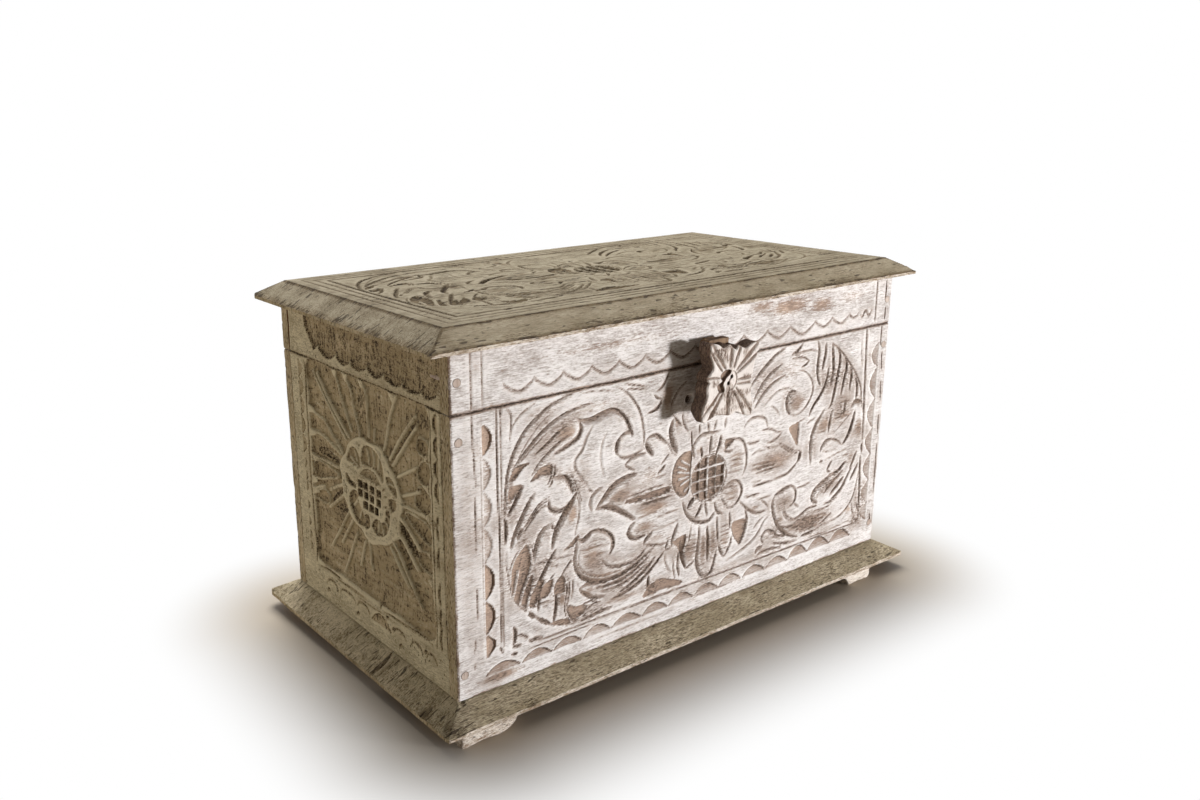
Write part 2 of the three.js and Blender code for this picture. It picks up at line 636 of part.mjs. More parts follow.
// A round-headed screw driven in from the back: its head stands on the leaf
function screw(x, z) {
  const tip = -SCREW_LENGTH;
  const profile = [
    new THREE.Vector2(0, tip),
    new THREE.Vector2(SCREW_SHANK_RADIUS / 2, tip + SCREW_SHANK_RADIUS),
    new THREE.Vector2(SCREW_SHANK_RADIUS, tip + 2 * SCREW_SHANK_RADIUS),
    new THREE.Vector2(SCREW_SHANK_RADIUS, 0),
    new THREE.Vector2(SCREW_HEAD_RADIUS, 0),
    new THREE.Vector2(SCREW_HEAD_RADIUS * 0.8, SCREW_HEAD_HEIGHT * 0.7),
    new THREE.Vector2(0, SCREW_HEAD_HEIGHT),
  ];
  const seat = backFace + GLUE_GAP + LEAF_THICKNESS + SCREW_SEAT;
  return new THREE.LatheGeometry(profile, SMALL_SIDES).translate(x, seat, z);
}

function addHinges() {
  const half = HINGE_WIDTH / 2;
  const outer = [[-half, -half + KNUCKLE_LENGTH], [half - KNUCKLE_LENGTH, half]];
  const middle = half - KNUCKLE_LENGTH - KNUCKLE_GAP;
  for (const [end, endName] of [[-1, 'left'], [1, 'right']]) {
    const x = end * HINGE_X;
    addPiece(`hinge_${endName}_case_leaf`, hingeLeaf(x, -1, outer), agedBrass());
    addPiece(`hinge_${endName}_lid_leaf`, hingeLeaf(x, 1, [[-middle, middle]]), agedBrass());
    addPiece(`hinge_${endName}_pin`, rodAlongX(HINGE_PIN_RADIUS, HINGE_WIDTH, x, hingeY, hingeZ), agedBrass());
    for (const [side, leafName] of [[-1, 'case'], [1, 'lid']]) {
      [-1, 1].forEach((way, index) => {
        const fixing = screw(x + way * SCREW_ACROSS, hingeZ + side * SCREW_FROM_AXIS);
        addPiece(`hinge_${endName}_${leafName}_screw_${index + 1}`, fixing, agedBrass());
      });
    }
  }
}

addCase();
addPegs('peg', wallPegHeights, [['lower'], ['upper']]);
addBase();
addFeet();
addLid();
addPegs('lid_peg', lidPegHeights, [[]]);
addLatch();
addHinges();

// The origin stands on the floor under the middle of the whole outline, latch included
const frontReach = Math.max(-rosetteFront, backFace + BASE_OUT_SIDE);
const backReach = backFace + BASE_OUT_SIDE;
chest.position.y = (frontReach - backReach) / 2;

export default chest;
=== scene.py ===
"""The looks of a small carved and whitewashed storage chest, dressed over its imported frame.

Every carved board is a grid of points pushed in by the cuts that a carver makes in it. Cuts are given in
millimetres on the board's own face: u runs along it, v up it, and depth goes in.
"""
import math

import bpy
import numpy as np
from mathutils import Matrix, Vector
from mathutils.geometry import delaunay_2d_cdt


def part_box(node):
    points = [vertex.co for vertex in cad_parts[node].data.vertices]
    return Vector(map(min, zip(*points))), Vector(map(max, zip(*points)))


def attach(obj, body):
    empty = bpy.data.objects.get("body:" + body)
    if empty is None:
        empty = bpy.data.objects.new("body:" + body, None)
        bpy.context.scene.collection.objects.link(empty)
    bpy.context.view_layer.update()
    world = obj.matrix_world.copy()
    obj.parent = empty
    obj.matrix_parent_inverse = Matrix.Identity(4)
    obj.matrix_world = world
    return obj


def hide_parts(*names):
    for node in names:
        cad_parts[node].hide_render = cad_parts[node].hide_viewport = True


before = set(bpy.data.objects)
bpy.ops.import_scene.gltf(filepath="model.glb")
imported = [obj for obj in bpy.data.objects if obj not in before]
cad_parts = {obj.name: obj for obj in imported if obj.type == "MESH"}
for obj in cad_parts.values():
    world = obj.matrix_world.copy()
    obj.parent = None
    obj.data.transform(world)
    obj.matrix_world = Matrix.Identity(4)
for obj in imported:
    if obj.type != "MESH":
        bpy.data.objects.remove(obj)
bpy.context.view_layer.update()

MM = 0.001

# Camera, as the photograph's perspective gives it
PHOTO_WIDTH = 1200
LENS_PIXELS = 1080.8
CENTRE_COLUMN = 520
SENSOR = 36
CAMERA_PLACE = (-0.5087, -0.5927, 0.3742)
CAMERA_PAN = math.radians(53.71)
CAMERA_TILT = math.radians(-15.93)
CAMERA_ROLL = math.radians(-0.70)


def add_camera():
    """The camera looks along its pan and tilt, with its right hand turned by the roll."""
    data = bpy.data.cameras.new("camera")
    data.sensor_width = SENSOR
    data.lens = LENS_PIXELS / PHOTO_WIDTH * SENSOR
    data.shift_x = (PHOTO_WIDTH / 2 - CENTRE_COLUMN) / PHOTO_WIDTH
    data.clip_start = 0.02
    level = math.cos(CAMERA_TILT)
    ahead = Vector((level * math.cos(CAMERA_PAN), level * math.sin(CAMERA_PAN), math.sin(CAMERA_TILT)))
    right = ahead.cross(Vector((0, 0, 1))).normalized()
    right = Matrix.Rotation(-CAMERA_ROLL, 3, ahead) @ right
    up = right.cross(ahead)
    camera = bpy.data.objects.new("camera", data)
    turn = Matrix((right, up, -ahead)).transposed()
    camera.matrix_world = Matrix.Translation(CAMERA_PLACE) @ turn.to_4x4()
    bpy.context.scene.collection.objects.link(camera)
    bpy.context.scene.camera = camera


def srgb(red, green, blue):
    """A colour from 0 to 255, as the eye reads it, as the linear light that a shader takes."""
    share = np.array([red, green, blue]) / 255
    light = np.where(share <= 0.04045, share / 12.92, ((share + 0.055) / 1.055) ** 2.4)
    return (*light.tolist(), 1.0)


# Shader nodes
class Value:
    """A shader socket that Python's operators work on: each operation adds a Math node."""

    def __init__(self, nodes, socket):
        self.nodes = nodes
        self.socket = socket

    def __add__(self, other):
        return self.nodes.math("ADD", self, other)

    def __sub__(self, other):
        return self.nodes.math("SUBTRACT", self, other)

    def __rsub__(self, other):
        return self.nodes.math("SUBTRACT", other, self)

    def __mul__(self, other):
        return self.nodes.math("MULTIPLY", self, other)

    __radd__ = __add__
    __rmul__ = __mul__


class Nodes:
    """The node tree of a material or of the world, which shows one shader."""

    def __init__(self, owner, output):
        owner.use_nodes = True
        self.tree = owner.node_tree
        self.tree.nodes.clear()
        self.output = self.tree.nodes.new(output)

    def node(self, kind, settings=None, inputs=None, output=0):
        """Adds a node of this kind, sets its settings, then its sockets, and gives one of its outputs."""
        node = self.tree.nodes.new(kind)
        for name, value in (settings or {}).items():
            setattr(node, name, value)
        for name, value in (inputs or {}).items():
            if isinstance(value, Value):
                self.tree.links.new(value.socket, node.inputs[name])
            else:
                node.inputs[name].default_value = value
        return Value(self, node.outputs[output])

    def math(self, operation, *values):
        return self.node("ShaderNodeMath", {"operation": operation}, dict(enumerate(values)))

    def vector(self, operation, *values, output=0):
        return self.node("ShaderNodeVectorMath", {"operation": operation}, dict(enumerate(values)), output)

    def step(self, value, low, high):
        """0 below low, 1 above high, and a smooth rise between them."""
        span = {"Value": value, "From Min": low, "From Max": high}
        return self.node("ShaderNodeMapRange", {"interpolation_type": "SMOOTHSTEP"}, span)

    def show(self, shader):
        self.tree.links.new(shader.socket, self.output.inputs["Surface"])


class Finish(Nodes):
    """A procedural material: a Principled shader with its constants, and the nodes that feed it."""

    def __init__(self, name, constants):
        self.material = bpy.data.materials.new(name)
        super().__init__(self.material, "ShaderNodeOutputMaterial")
        self.shader = self.node("ShaderNodeBsdfPrincipled", {}, constants)
        self.show(self.shader)
        found = self.node("ShaderNodeTexCoord", output="Object")
        self.place = self.vector("MULTIPLY", found, (1 / MM, 1 / MM, 1 / MM))

    def feed(self, socket, value):
        self.tree.links.new(value.socket, self.shader.socket.node.inputs[socket])

    def noise(self, grain, along, across, up=None, detail=2.0, roughness=0.5):
        """Smooth noise about 0, mostly from -0.25 to 0.25. Its cells are as long along the grain and as wide
        across it as given, in millimetres. up is another width for Z."""
        sizes = [1 / across, 1 / across, 1 / (up or across)]
        sizes["XYZ".index(grain)] = 1 / along
        place = self.vector("MULTIPLY", self.place, sizes)
        texture = {"Vector": place, "Scale": 1.0, "Detail": detail, "Roughness": roughness}
        return self.node("ShaderNodeTexNoise", {}, texture) - 0.5

    def attribute(self, name):
        return self.node("ShaderNodeAttribute", {"attribute_name": name}, output="Fac")

    def mix(self, share, first, second):
        """A blend of two colours, share 0 for the first."""
        return self.node("ShaderNodeMix", {"data_type": "RGBA"}, {0: share, 6: first, 7: second}, 2)

    def bump(self, height, reach):
        """Feeds a bump whose height of 1 stands for reach millimetres."""
        values = {"Height": height, "Distance": reach * MM}
        self.feed("Normal", self.node("ShaderNodeBump", {}, values))


# Numbers for every point at once
def unit(values):
    """The values, held between 0 and 1."""
    return np.clip(values, 0, 1)


NOISE_CELLS = 64


def lattice_noise(u, v, size_u, size_v, seed):
    """Smooth noise from -1 to 1: random values at the corners of cells of this size, eased between them."""
    table = np.random.default_rng(seed).uniform(-1, 1, (NOISE_CELLS, NOISE_CELLS))
    across, up = u / size_u, v / size_v
    column, row = np.floor(across).astype(int), np.floor(up).astype(int)
    s, t = across - column, up - row
    s, t = s * s * (3 - 2 * s), t * t * (3 - 2 * t)
    left, right = column % NOISE_CELLS, (column + 1) % NOISE_CELLS
    lower, upper = row % NOISE_CELLS, (row + 1) % NOISE_CELLS
    low, high = (table[line, left] * (1 - s) + table[line, right] * s for line in (lower, upper))
    return low * (1 - t) + high * t


def smooth_line(points, closed=False, steps=6):
    """A Catmull-Rom line through the points: a cubic for each span, whose slope at a point is half the step
    between that point's neighbours."""
    knots = np.array(points, float)
    if closed:
        ends = np.vstack([knots[-1:], knots, knots[:2]])
    else:
        ends = np.vstack([2 * knots[0] - knots[1], knots, 2 * knots[-1] - knots[-2]])
    a, b, c, d = (ends[i:len(ends) - 3 + i, None] for i in range(4))
    t = (np.arange(steps) / steps)[None, :, None]
    squared, cubed = (2 * a - 5 * b + 4 * c - d) * t ** 2, (3 * b - a - 3 * c + d) * t ** 3
    line = (0.5 * (2 * b + (c - a) * t + squared + cubed)).reshape(-1, 2)
    return line if closed else np.vstack([line, knots[-1:]])


TINY = 1e-9  # keeps a length of nothing from being divided by


def to_line(u, v, line):
    """For each point, its distance to a bent line, the share of the line's length at the nearest place, and
    1 or -1 where the point is on the line's left or right."""
    start, run = line[:-1], np.diff(line, axis=0)
    length = np.hypot(run[:, 0], run[:, 1]) + TINY
    du, dv = u[:, None] - start[:, 0], v[:, None] - start[:, 1]
    along = unit((du * run[:, 0] + dv * run[:, 1]) / length ** 2)
    gap = np.hypot(du - along * run[:, 0], dv - along * run[:, 1])
    best = gap.argmin(1)
    rows = np.arange(len(u))
    passed = np.concatenate([[0], np.cumsum(length)])
    share = (passed[best] + along[rows, best] * length[best]) / passed[-1]
    turn = run[best, 0] * dv[rows, best] - run[best, 1] * du[rows, best]
    return gap[rows, best], share, np.where(turn >= 0, 1.0, -1.0)


def is_inside(u, v, ring):
    """Whether each point is inside a closed line, which a ray to its right then crosses an odd number of
    times."""
    a, b = ring, np.roll(ring, -1, axis=0)
    spans = (a[:, 1] > v[:, None]) != (b[:, 1] > v[:, None])
    rise = np.where(b[:, 1] == a[:, 1], TINY, b[:, 1] - a[:, 1])
    reach = a[:, 0] + (v[:, None] - a[:, 1]) / rise * (b[:, 0] - a[:, 0])
    return (spans & (u[:, None] < reach)).sum(1) % 2 == 1


# How a V cut is shaped. Lengths are in millimetres
BEND_LEAN = 0.75  # the lean of a cut that bends much
BEND_EASE = 0.7  # radians of bend at which most of that lean is reached
WIDE_GAIN = 1.7  # what a lean adds to the wide slope
STEEP_LOSS = 0.7  # what it takes from the steep one
LEAST_HALF = 0.4
FLOOR_BASE, FLOOR_GAIN = 0.3, 0.46  # a cut's depth, for no width and for each millimetre of it
STAIN_REACH = 1.5  # how far stain spreads from the bottom of a hollow's wall
BELL = 1.6  # how fast a soft oval fades


class Carving:
    """Cuts worked out at given points of a face. depth is how far in they go, and form how far in the board's
    own shape lies, both in millimetres, stain is how dark the cut is, seam_shade how dark the painted shade
    along the seam's edge is, and bare how far the wash is rubbed off."""

    def __init__(self, u, v):
        self.u = u
        self.v = v
        self.depth, self.form, self.stain, self.seam_shade, self.bare = np.zeros((5, len(u)))

    def noise(self, size_u, size_v, seed, at=...):
        return lattice_noise(self.u[at], self.v[at], size_u, size_v, seed)

    def near(self, line, reach):
        """The points within reach of the box round a line, and what to_line tells of them."""
        low, high = line.min(0) - reach, line.max(0) + reach
        beside = (self.u > low[0]) & (self.u < high[0])
        at = np.flatnonzero(beside & (self.v > low[1]) & (self.v < high[1]))
        return at, *to_line(self.u[at], self.v[at], line)

    def near_ring(self, points, reach):
        """The points near a smooth closed outline, their distance to it, and whether they are inside."""
        ring = smooth_line(points, closed=True)
        at, gap, _, _ = self.near(np.vstack([ring, ring[:1]]), reach)
        return at, gap, is_inside(self.u[at], self.v[at], ring)

    def deepen(self, at, depth, stain=0.0, bare=0.0):
        self.depth[at] = np.maximum(self.depth[at], depth)
        self.stain[at] = np.maximum(self.stain[at], stain)
        self.bare[at] = np.maximum(self.bare[at], bare)

    def darken(self, stain):
        self.stain = np.maximum(self.stain, stain)

    def rub(self, bare):
        self.bare = np.maximum(self.bare, bare)

    def take(self, other, share=1.0):
        """Adds the cuts of another carving of the same points."""
        self.deepen(..., other.depth * share, other.stain, other.bare)

    def cut(self, width, dark, *points, lean=None, deep=None, ends=0.35):
        """A V cut along a smooth line, narrowing to its ends as a sine to a small power. One slope is steep
        and the other wide: the left one for a positive lean, and where no lean is given the one inside the
        line's bend. Stain is darkest along the bottom and fades out up the wide slope."""
        line = smooth_line(points)
        if lean is None:
            way = np.unwrap(np.arctan2(*np.diff(line, axis=0).T[::-1]))
            lean = BEND_LEAN * math.tanh((way[-1] - way[0]) / BEND_EASE)
        at, gap, share, side = self.near(line, 3.3 * width + 1.3)
        swell = unit(np.sin(np.pi * np.clip(share, 0.003, 0.997))) ** ends
        wide = np.where(side * lean > 0, 1 + WIDE_GAIN * abs(lean), 1 - STEEP_LOSS * abs(lean))
        half = np.maximum(width / 2 * wide, LEAST_HALF) * swell
        fall = unit(1 - gap / half)
        floor = FLOOR_BASE + FLOOR_GAIN * width if deep is None else deep
        core = unit(1.3 - gap / (0.35 + 0.16 * width))
        soft = 0.55 * unit(1 - gap / (1.45 * half + 0.3)) ** 1.2
        skirt = 0.27 * unit(1 - gap / (2.8 * half + 1.2))
        stain = dark * swell * np.maximum(np.maximum(core, soft), skirt)
        self.deepen(at, floor * swell * fall ** 1.15, stain)

    def cuts(self, width, dark, *lines, **how):
        """The same cut along each of the lines."""
        for line in lines:
            self.cut(width, dark, *line, **how)

    def dish(self, dark, bare, *points, deep=1.3, slope=2.2, level=0.35):
        """A hollow with a smooth closed outline: its wall drops to a share of its depth at once, and the rest
        as a parabola over the slope's width."""
        at, gap, inner = self.near_ring(points, 0)
        at, gap = at[inner], gap[inner]
        fall = 1 - (1 - unit(gap / slope)) ** 2
        wall = unit(1.3 - gap / STAIN_REACH)
        spots = 0.5 + 0.5 * self.noise(5, 1.3, 97, at)
        stain = dark * (0.12 + 0.3 * spots + 0.58 * wall)
        self.deepen(at, deep * (level + (1 - level) * fall), stain, bare * (0.45 + 0.55 * spots))

    def bell(self, u, v, reach_u, reach_v, lean=0.0):
        """A slanting oval, 1 in its middle, which fades round it as a bell curve of the distance."""
        across = (self.v - v - lean * (self.u - u)) / reach_v
        return np.exp(-BELL * (((self.u - u) / reach_u) ** 2 + across ** 2))

    def patch(self, bare, u, v, reach_u, reach_v, dark=0.0, lean=0.0):
        """A soft oval where the wash is rubbed off, or stained."""
        bell = self.bell(u, v, reach_u, reach_v, lean)
        self.rub(bare * bell)
        self.darken(dark * bell)

    def tint(self, dark, u, v, reach_u, reach_v, lean=0.0):
        """A soft oval of thin brown stain."""
        self.patch(0.5 * dark, u, v, reach_u, reach_v, dark, lean)

    def whiten(self, share, *oval):
        """A soft oval where thick wash hides the stain: bare falls below nothing there."""
        bell = share * self.bell(*oval)
        self.bare = self.bare * (1 - bell) - 0.9 * bell
        self.stain = self.stain * (1 - 0.35 * bell)

    def shade(self, gap, reach=1.1):
        """Painted shade that darkens the wood within reach of an edge, for the shadow in the seam there."""
        self.seam_shade = np.maximum(self.seam_shade, unit(1.4 * (1 - gap / reach)))

    def leave(self, at, depth, cleaned, kept):
        """Leaves wood standing where cuts would go deeper than this. Where it is cleaned as well, its stain
        goes and it stays bare by the kept share."""
        shown = (depth < self.depth[at]) & cleaned
        self.depth[at] = np.minimum(self.depth[at], depth)
        self.stain[at] = np.where(shown, 0, self.stain[at])
        self.bare[at] = np.where(shown, self.bare[at] * kept, self.bare[at])

    def lift(self, width, top, *points, steep=1.6):
        """A ridge left standing in sunk ground: within half its width of the line, depth is at most top."""
        at, gap, _, _ = self.near(smooth_line(points), width / 2 + 3)
        self.leave(at, top + steep * np.maximum(gap - width / 2, 0), True, 0.2)

    def lifts(self, width, top, *lines, **how):
        """The same ridge along each of the lines."""
        for line in lines:
            self.lift(width, top, *line, **how)

    def spare(self, *points, slope=2.0):
        """Leaves the wood inside a smooth closed outline at its full height, sloping down outside it."""
        at, gap, inner = self.near_ring(points, 2)
        self.leave(at, np.where(inner, 0, gap * slope), inner, 0)

    def double(self, apart, width, dark, *points):
        """A thin ridge between two fine cuts that run side by side."""
        line = np.array(points, float)
        run = np.gradient(line, axis=0)
        aside = np.stack([-run[:, 1], run[:, 0]], 1) / np.hypot(run[:, 0], run[:, 1])[:, None]
        for way in (-0.5, 0.5):
            self.cut(width, dark, *(line + way * apart * aside))

    def stripes(self, dark, u0, u1, *heights):
        """Short level tool marks across a petal."""
        for height in heights:
            self.cut(1.1, dark, (u0, height), ((u0 + u1) / 2, height + 0.4), (u1, height), deep=0.45)

    def scallops(self, cusps, base, peak, dark=0.8, bare=0.5, upright=False, deep=1.6):
        """A row of gouged half moons: the arc is stabbed in upright, and the floor slopes up to the chord.
        base is the chord's place and peak the arc's, along v, or along u where the row is upright."""
        along, across = (self.v, self.u) if upright else (self.u, self.v)
        for first, last in zip(cusps[:-1], cusps[1:]):
            middle, half = (first + last) / 2, abs(last - first) / 2
            arc = 1 - ((along - middle) / half) ** 2
            rise = (across - base) / (peak - base)
            at = np.flatnonzero((arc > 0) & (rise > 0) & (rise < arc))
            from_arc = (arc[at] - rise[at]) * abs(peak - base)
            stain = dark * (0.14 + 0.86 * unit(1.4 - from_arc / 1.2))
            self.deepen(at, deep * (0.25 + 0.75 * rise[at]), stain, bare)


# The front board. Its field holds a long cartouche: scrolled leaves on each side of a flower
def front_border(c):
    left_cusps = [22, 37.5, 60, 84, 107, 130, 151, 171]
    c.scallops(left_cusps[:4], 21, 28.3, 0.5, 0.95, upright=True)
    c.scallops(left_cusps[3:7], 21, 27, 0.3, 0.25, upright=True, deep=0.9)
    c.scallops(left_cusps[6:], 21, 28, 0.25, 0.95, upright=True)
    c.scallops([20, 34, 54, 76, 97, 121, 146, 166], 390, 382.5, 0.85, 0.1, upright=True, deep=1.2)
    c.scallops([19.5, 47, 72, 96.5], 10.2, 16, 0.8, 0.3, deep=1.3)
    c.scallops([96.5, 121, 148, 173, 197.5, 222, 246.5, 272, 297], 10.2, 16.8, 0.9, 0.2, deep=1.3)
    c.scallops([297.5, 319.5, 345.5, 371], 11.5, 19.3, 0.9, 0.25, deep=1.5)
    c.patch(0.95, 33, 7.5, 15, 3.2)
    c.cut(1.2, 0.35, (20.5, 176), (20.3, 140), (20.3, 90), (20.5, 20), deep=0.5, ends=0.1)
    c.cuts(1.1, 0.75, [(14, 178), (14.6, 160), (16, 134)], [(15, 128), (15.4, 110), (15.6, 92)],
           [(15, 70), (15.4, 60), (15.6, 50)], [(13.2, 37), (13, 33), (12.6, 29)], [(12.8, 22), (12.6, 18)],
           deep=0.6, ends=0.15)
    c.cut(1.5, 0.7, (31.6, 178), (31.5, 163), (31.3, 135), (32.3, 100), (32.8, 60), (32.5, 30), ends=0.1)
    c.cut(1.2, 0.4, (34.6, 178), (34, 150), (34.6, 110), (34.5, 60), (34, 26), ends=0.1, deep=0.6)
    c.cut(2, 0.8, (32.4, 49), (32.6, 40), (32.6, 32))
    c.cut(2, 0.8, (34.5, 178), (34.4, 173))
    c.cut(2.4, 0.8, (373.4, 178), (374.8, 155), (376, 130), (377.4, 110), (377.8, 90), ends=0.12)
    c.cut(2.6, 0.85, (377.2, 76), (378.6, 60), (380, 42), (380.6, 30), (380.4, 22), ends=0.15)
    c.cut(1.6, 0.3, (368, 176), (368.6, 160), (371, 148), deep=0.6)
    c.cut(2.6, 0.9, (377.8, 87), (378, 83), (378.4, 79))
    c.cut(2.4, 0.85, (376.6, 38), (378, 34), (379.6, 30))
    c.cut(3, 0.9, (378.4, 24), (378.6, 20.5))
    c.cut(1.8, 0.8, (90, 21), (140, 20.8), (200, 20.6), (260, 20.5), (330, 20.4), (376, 20.3), ends=0.1)
    c.cut(1.5, 0.45, (60, 21.2), (75, 21.1), (92, 21))
    c.cut(1.2, 0.75, (52, 18), (75, 18.4), (103, 18.9), deep=0.6)
    c.cut(1.2, 0.55, (318, 22), (345, 22.6), (372, 24.6), deep=0.6)
    c.cut(1, 0.4, (106, 7), (145, 7.2), (182, 7.6), deep=0.4)
    c.cut(1, 0.45, (188, 9), (215, 10), (250, 9), deep=0.4)
    c.cuts(1.8, 0.85, [(391.5, 178), (391.6, 163)], [(394, 157), (394.4, 150), (395, 143)],
           [(395.5, 134), (396, 126), (396.6, 118)], [(396, 106), (396.8, 98), (397, 91)],
           [(397, 82), (397.6, 62), (397.4, 41)], [(394.6, 24), (395.4, 20), (396, 15)], deep=0.8,
           ends=0.15)


def front_corners(c):
    """Small leaf cuts in the corners that the long cartouche leaves."""
    c.cut(1.3, 0.65, (38.5, 177.5), (41.6, 173), (42, 166), (40.8, 157))
    c.cut(1.2, 0.55, (41.8, 163), (45, 168.5), (51, 173), (60, 176.8))
    c.patch(0.9, 44, 170.5, 2.6, 4)
    c.cut(2.6, 1, (41.5, 37), (43.2, 33), (43, 28.5), (41.4, 24))
    c.cut(2.2, 1, (40.5, 23.4), (44, 22.8), (47.5, 22.8))
    c.cut(1.4, 0.8, (43.6, 29.6), (48, 29.4), (53, 26))
    c.cut(2.6, 1, (53, 24.5), (55, 22.8), (59, 22.8), (64, 22.4))
    c.cut(1.8, 0.9, (39.5, 18.6), (42, 18), (44.6, 18.4))
    c.cut(1.8, 0.7, (31, 26.5), (32.4, 24), (33.4, 21.5))
    c.cut(1.4, 0.7, (370, 40), (371.4, 33), (373.4, 28.5), (377, 27))


def outline_left(c):
    c.cut(2.2, 1, (88, 177.4), (78, 175.4), (70, 173), (60, 167.5), (52, 161.5), (46, 154), (41, 145),
          (38.2, 135), (36.6, 122), (36.2, 111), ends=0.2)
    c.cut(2.8, 1, (36, 110), (37.4, 103), (36.6, 93))
    c.cut(3.2, 1, (94.5, 24.3), (100, 24.4), (108, 25), (116, 25.8), (122, 25.8))
    c.cut(1.4, 0.5, (36.8, 88), (36.4, 80), (38.4, 70), (41, 58), (46, 50), (54, 42), (64, 33.5),
          (72, 28.5), (82, 25.4), (92, 23.4), ends=0.2)
    c.dish(0.95, 0.8, (52.6, 41.5), (55.5, 42), (58.6, 38.8), (57.4, 37.5), (54.4, 39.2), deep=1.4)
    c.dish(0.95, 0.8, (59.6, 36.6), (64, 35.4), (69.6, 31.2), (68, 30), (63, 33), deep=1.4)
    c.dish(0.6, 0.95, (71.8, 29), (77, 30.2), (84, 28.4), (86.4, 24.4), (79, 26), deep=1.2)


def outline_right(c):
    c.cut(1.4, 0.75, (333, 173), (340, 168.4), (348, 162), (356, 154), (363, 146), (369, 137.5),
          (372, 130), (373.4, 121), (376.4, 112), ends=0.2)
    c.cut(1.4, 0.5, (376.8, 64), (375, 55), (372.4, 46), (369, 40), (362, 34), (354, 30.6), (344, 29.2),
          (334, 28.6), (322, 25.4), ends=0.2)
    c.patch(0.8, 366, 34.5, 5, 3.6)


def top_left_scroll(c):
    """A long leaf arm that rises from the left edge, runs under the seam and curls down into a hook."""
    c.cut(1, 0.5, (75, 170), (65, 164.4), (57, 157.4), (50.6, 150), (44, 140.5), deep=0.5)
    c.cut(2.4, 0.95, (103, 169), (90, 167.6), (80, 165.4), (70, 161.4), (60, 155), (50, 146.4), (41, 137))
    c.cut(1.1, 0.6, (70, 157.6), (60, 151), (52, 145), (45, 139.6), deep=0.6)
    c.cut(2, 0.9, (83, 158), (76, 155), (68, 149.6), (58, 144))
    c.cut(2, 0.9, (87, 152.6), (80, 150), (72, 145.6), (65, 141), (60, 136.4), (56, 131))
    c.cut(3.4, 0.55, (91, 161.5), (94.6, 158), (95.5, 153), (93, 148.4), (88, 145.6), (80, 143), (73, 141.5),
          lean=-0.55)
    c.patch(0.75, 83, 153, 13, 8)
    c.patch(0.4, 68, 150, 16, 9)
    c.patch(0.35, 105, 166, 30, 5)
    c.dish(0.75, 0.7, (40.6, 131), (42, 136.5), (47, 140.3), (54.4, 140), (50, 137.4), (45.6, 132.6))
    c.cut(5, 0.6, (91, 161.5), (97, 159), (104, 158.7), (112, 160.5), (120, 161.5), (126, 159.4), (131, 154),
          lean=-0.6)
    c.cut(3.6, 0.95, (126, 159.4), (131, 154.4), (135, 147.4), (137.4, 140.6), lean=-0.2)
    c.cut(2.4, 0.75, (138, 141.4), (134.6, 144.4), (130, 143.8), (126.4, 141.6), (125, 138.5))
    c.cut(4, 0.95, (126.6, 142), (124.4, 138), (123.8, 134), (124.6, 130.6), lean=0.2)
    c.cut(2, 0.6, (124.4, 131.4), (127.6, 128.2), (133, 126.6), (140, 127.5), (147, 129.5))
    c.cut(1.6, 0.5, (122, 176), (130, 172), (137, 165.6), (143, 157), (146, 148), (147.4, 138), (147, 131))
    c.cut(1.2, 0.35, (94, 176.6), (110, 175.4), (122, 173))
    c.cut(1.6, 0.55, (129, 176.6), (139, 174), (149, 171.4))
    c.cut(1.6, 0.55, (131, 172.6), (140, 171.4), (149, 169.6))
    c.cut(2.4, 0.3, (106, 156), (100, 148), (96, 140), (90.4, 134), (91, 128), (97, 120), (103, 111.5),
          lean=-0.5, deep=1)
    c.cut(2, 0.25, (116, 148), (112, 142), (110.6, 135), (111, 127), (114, 118), lean=0.4, deep=0.8)
    c.patch(0.3, 104, 133, 9, 14)


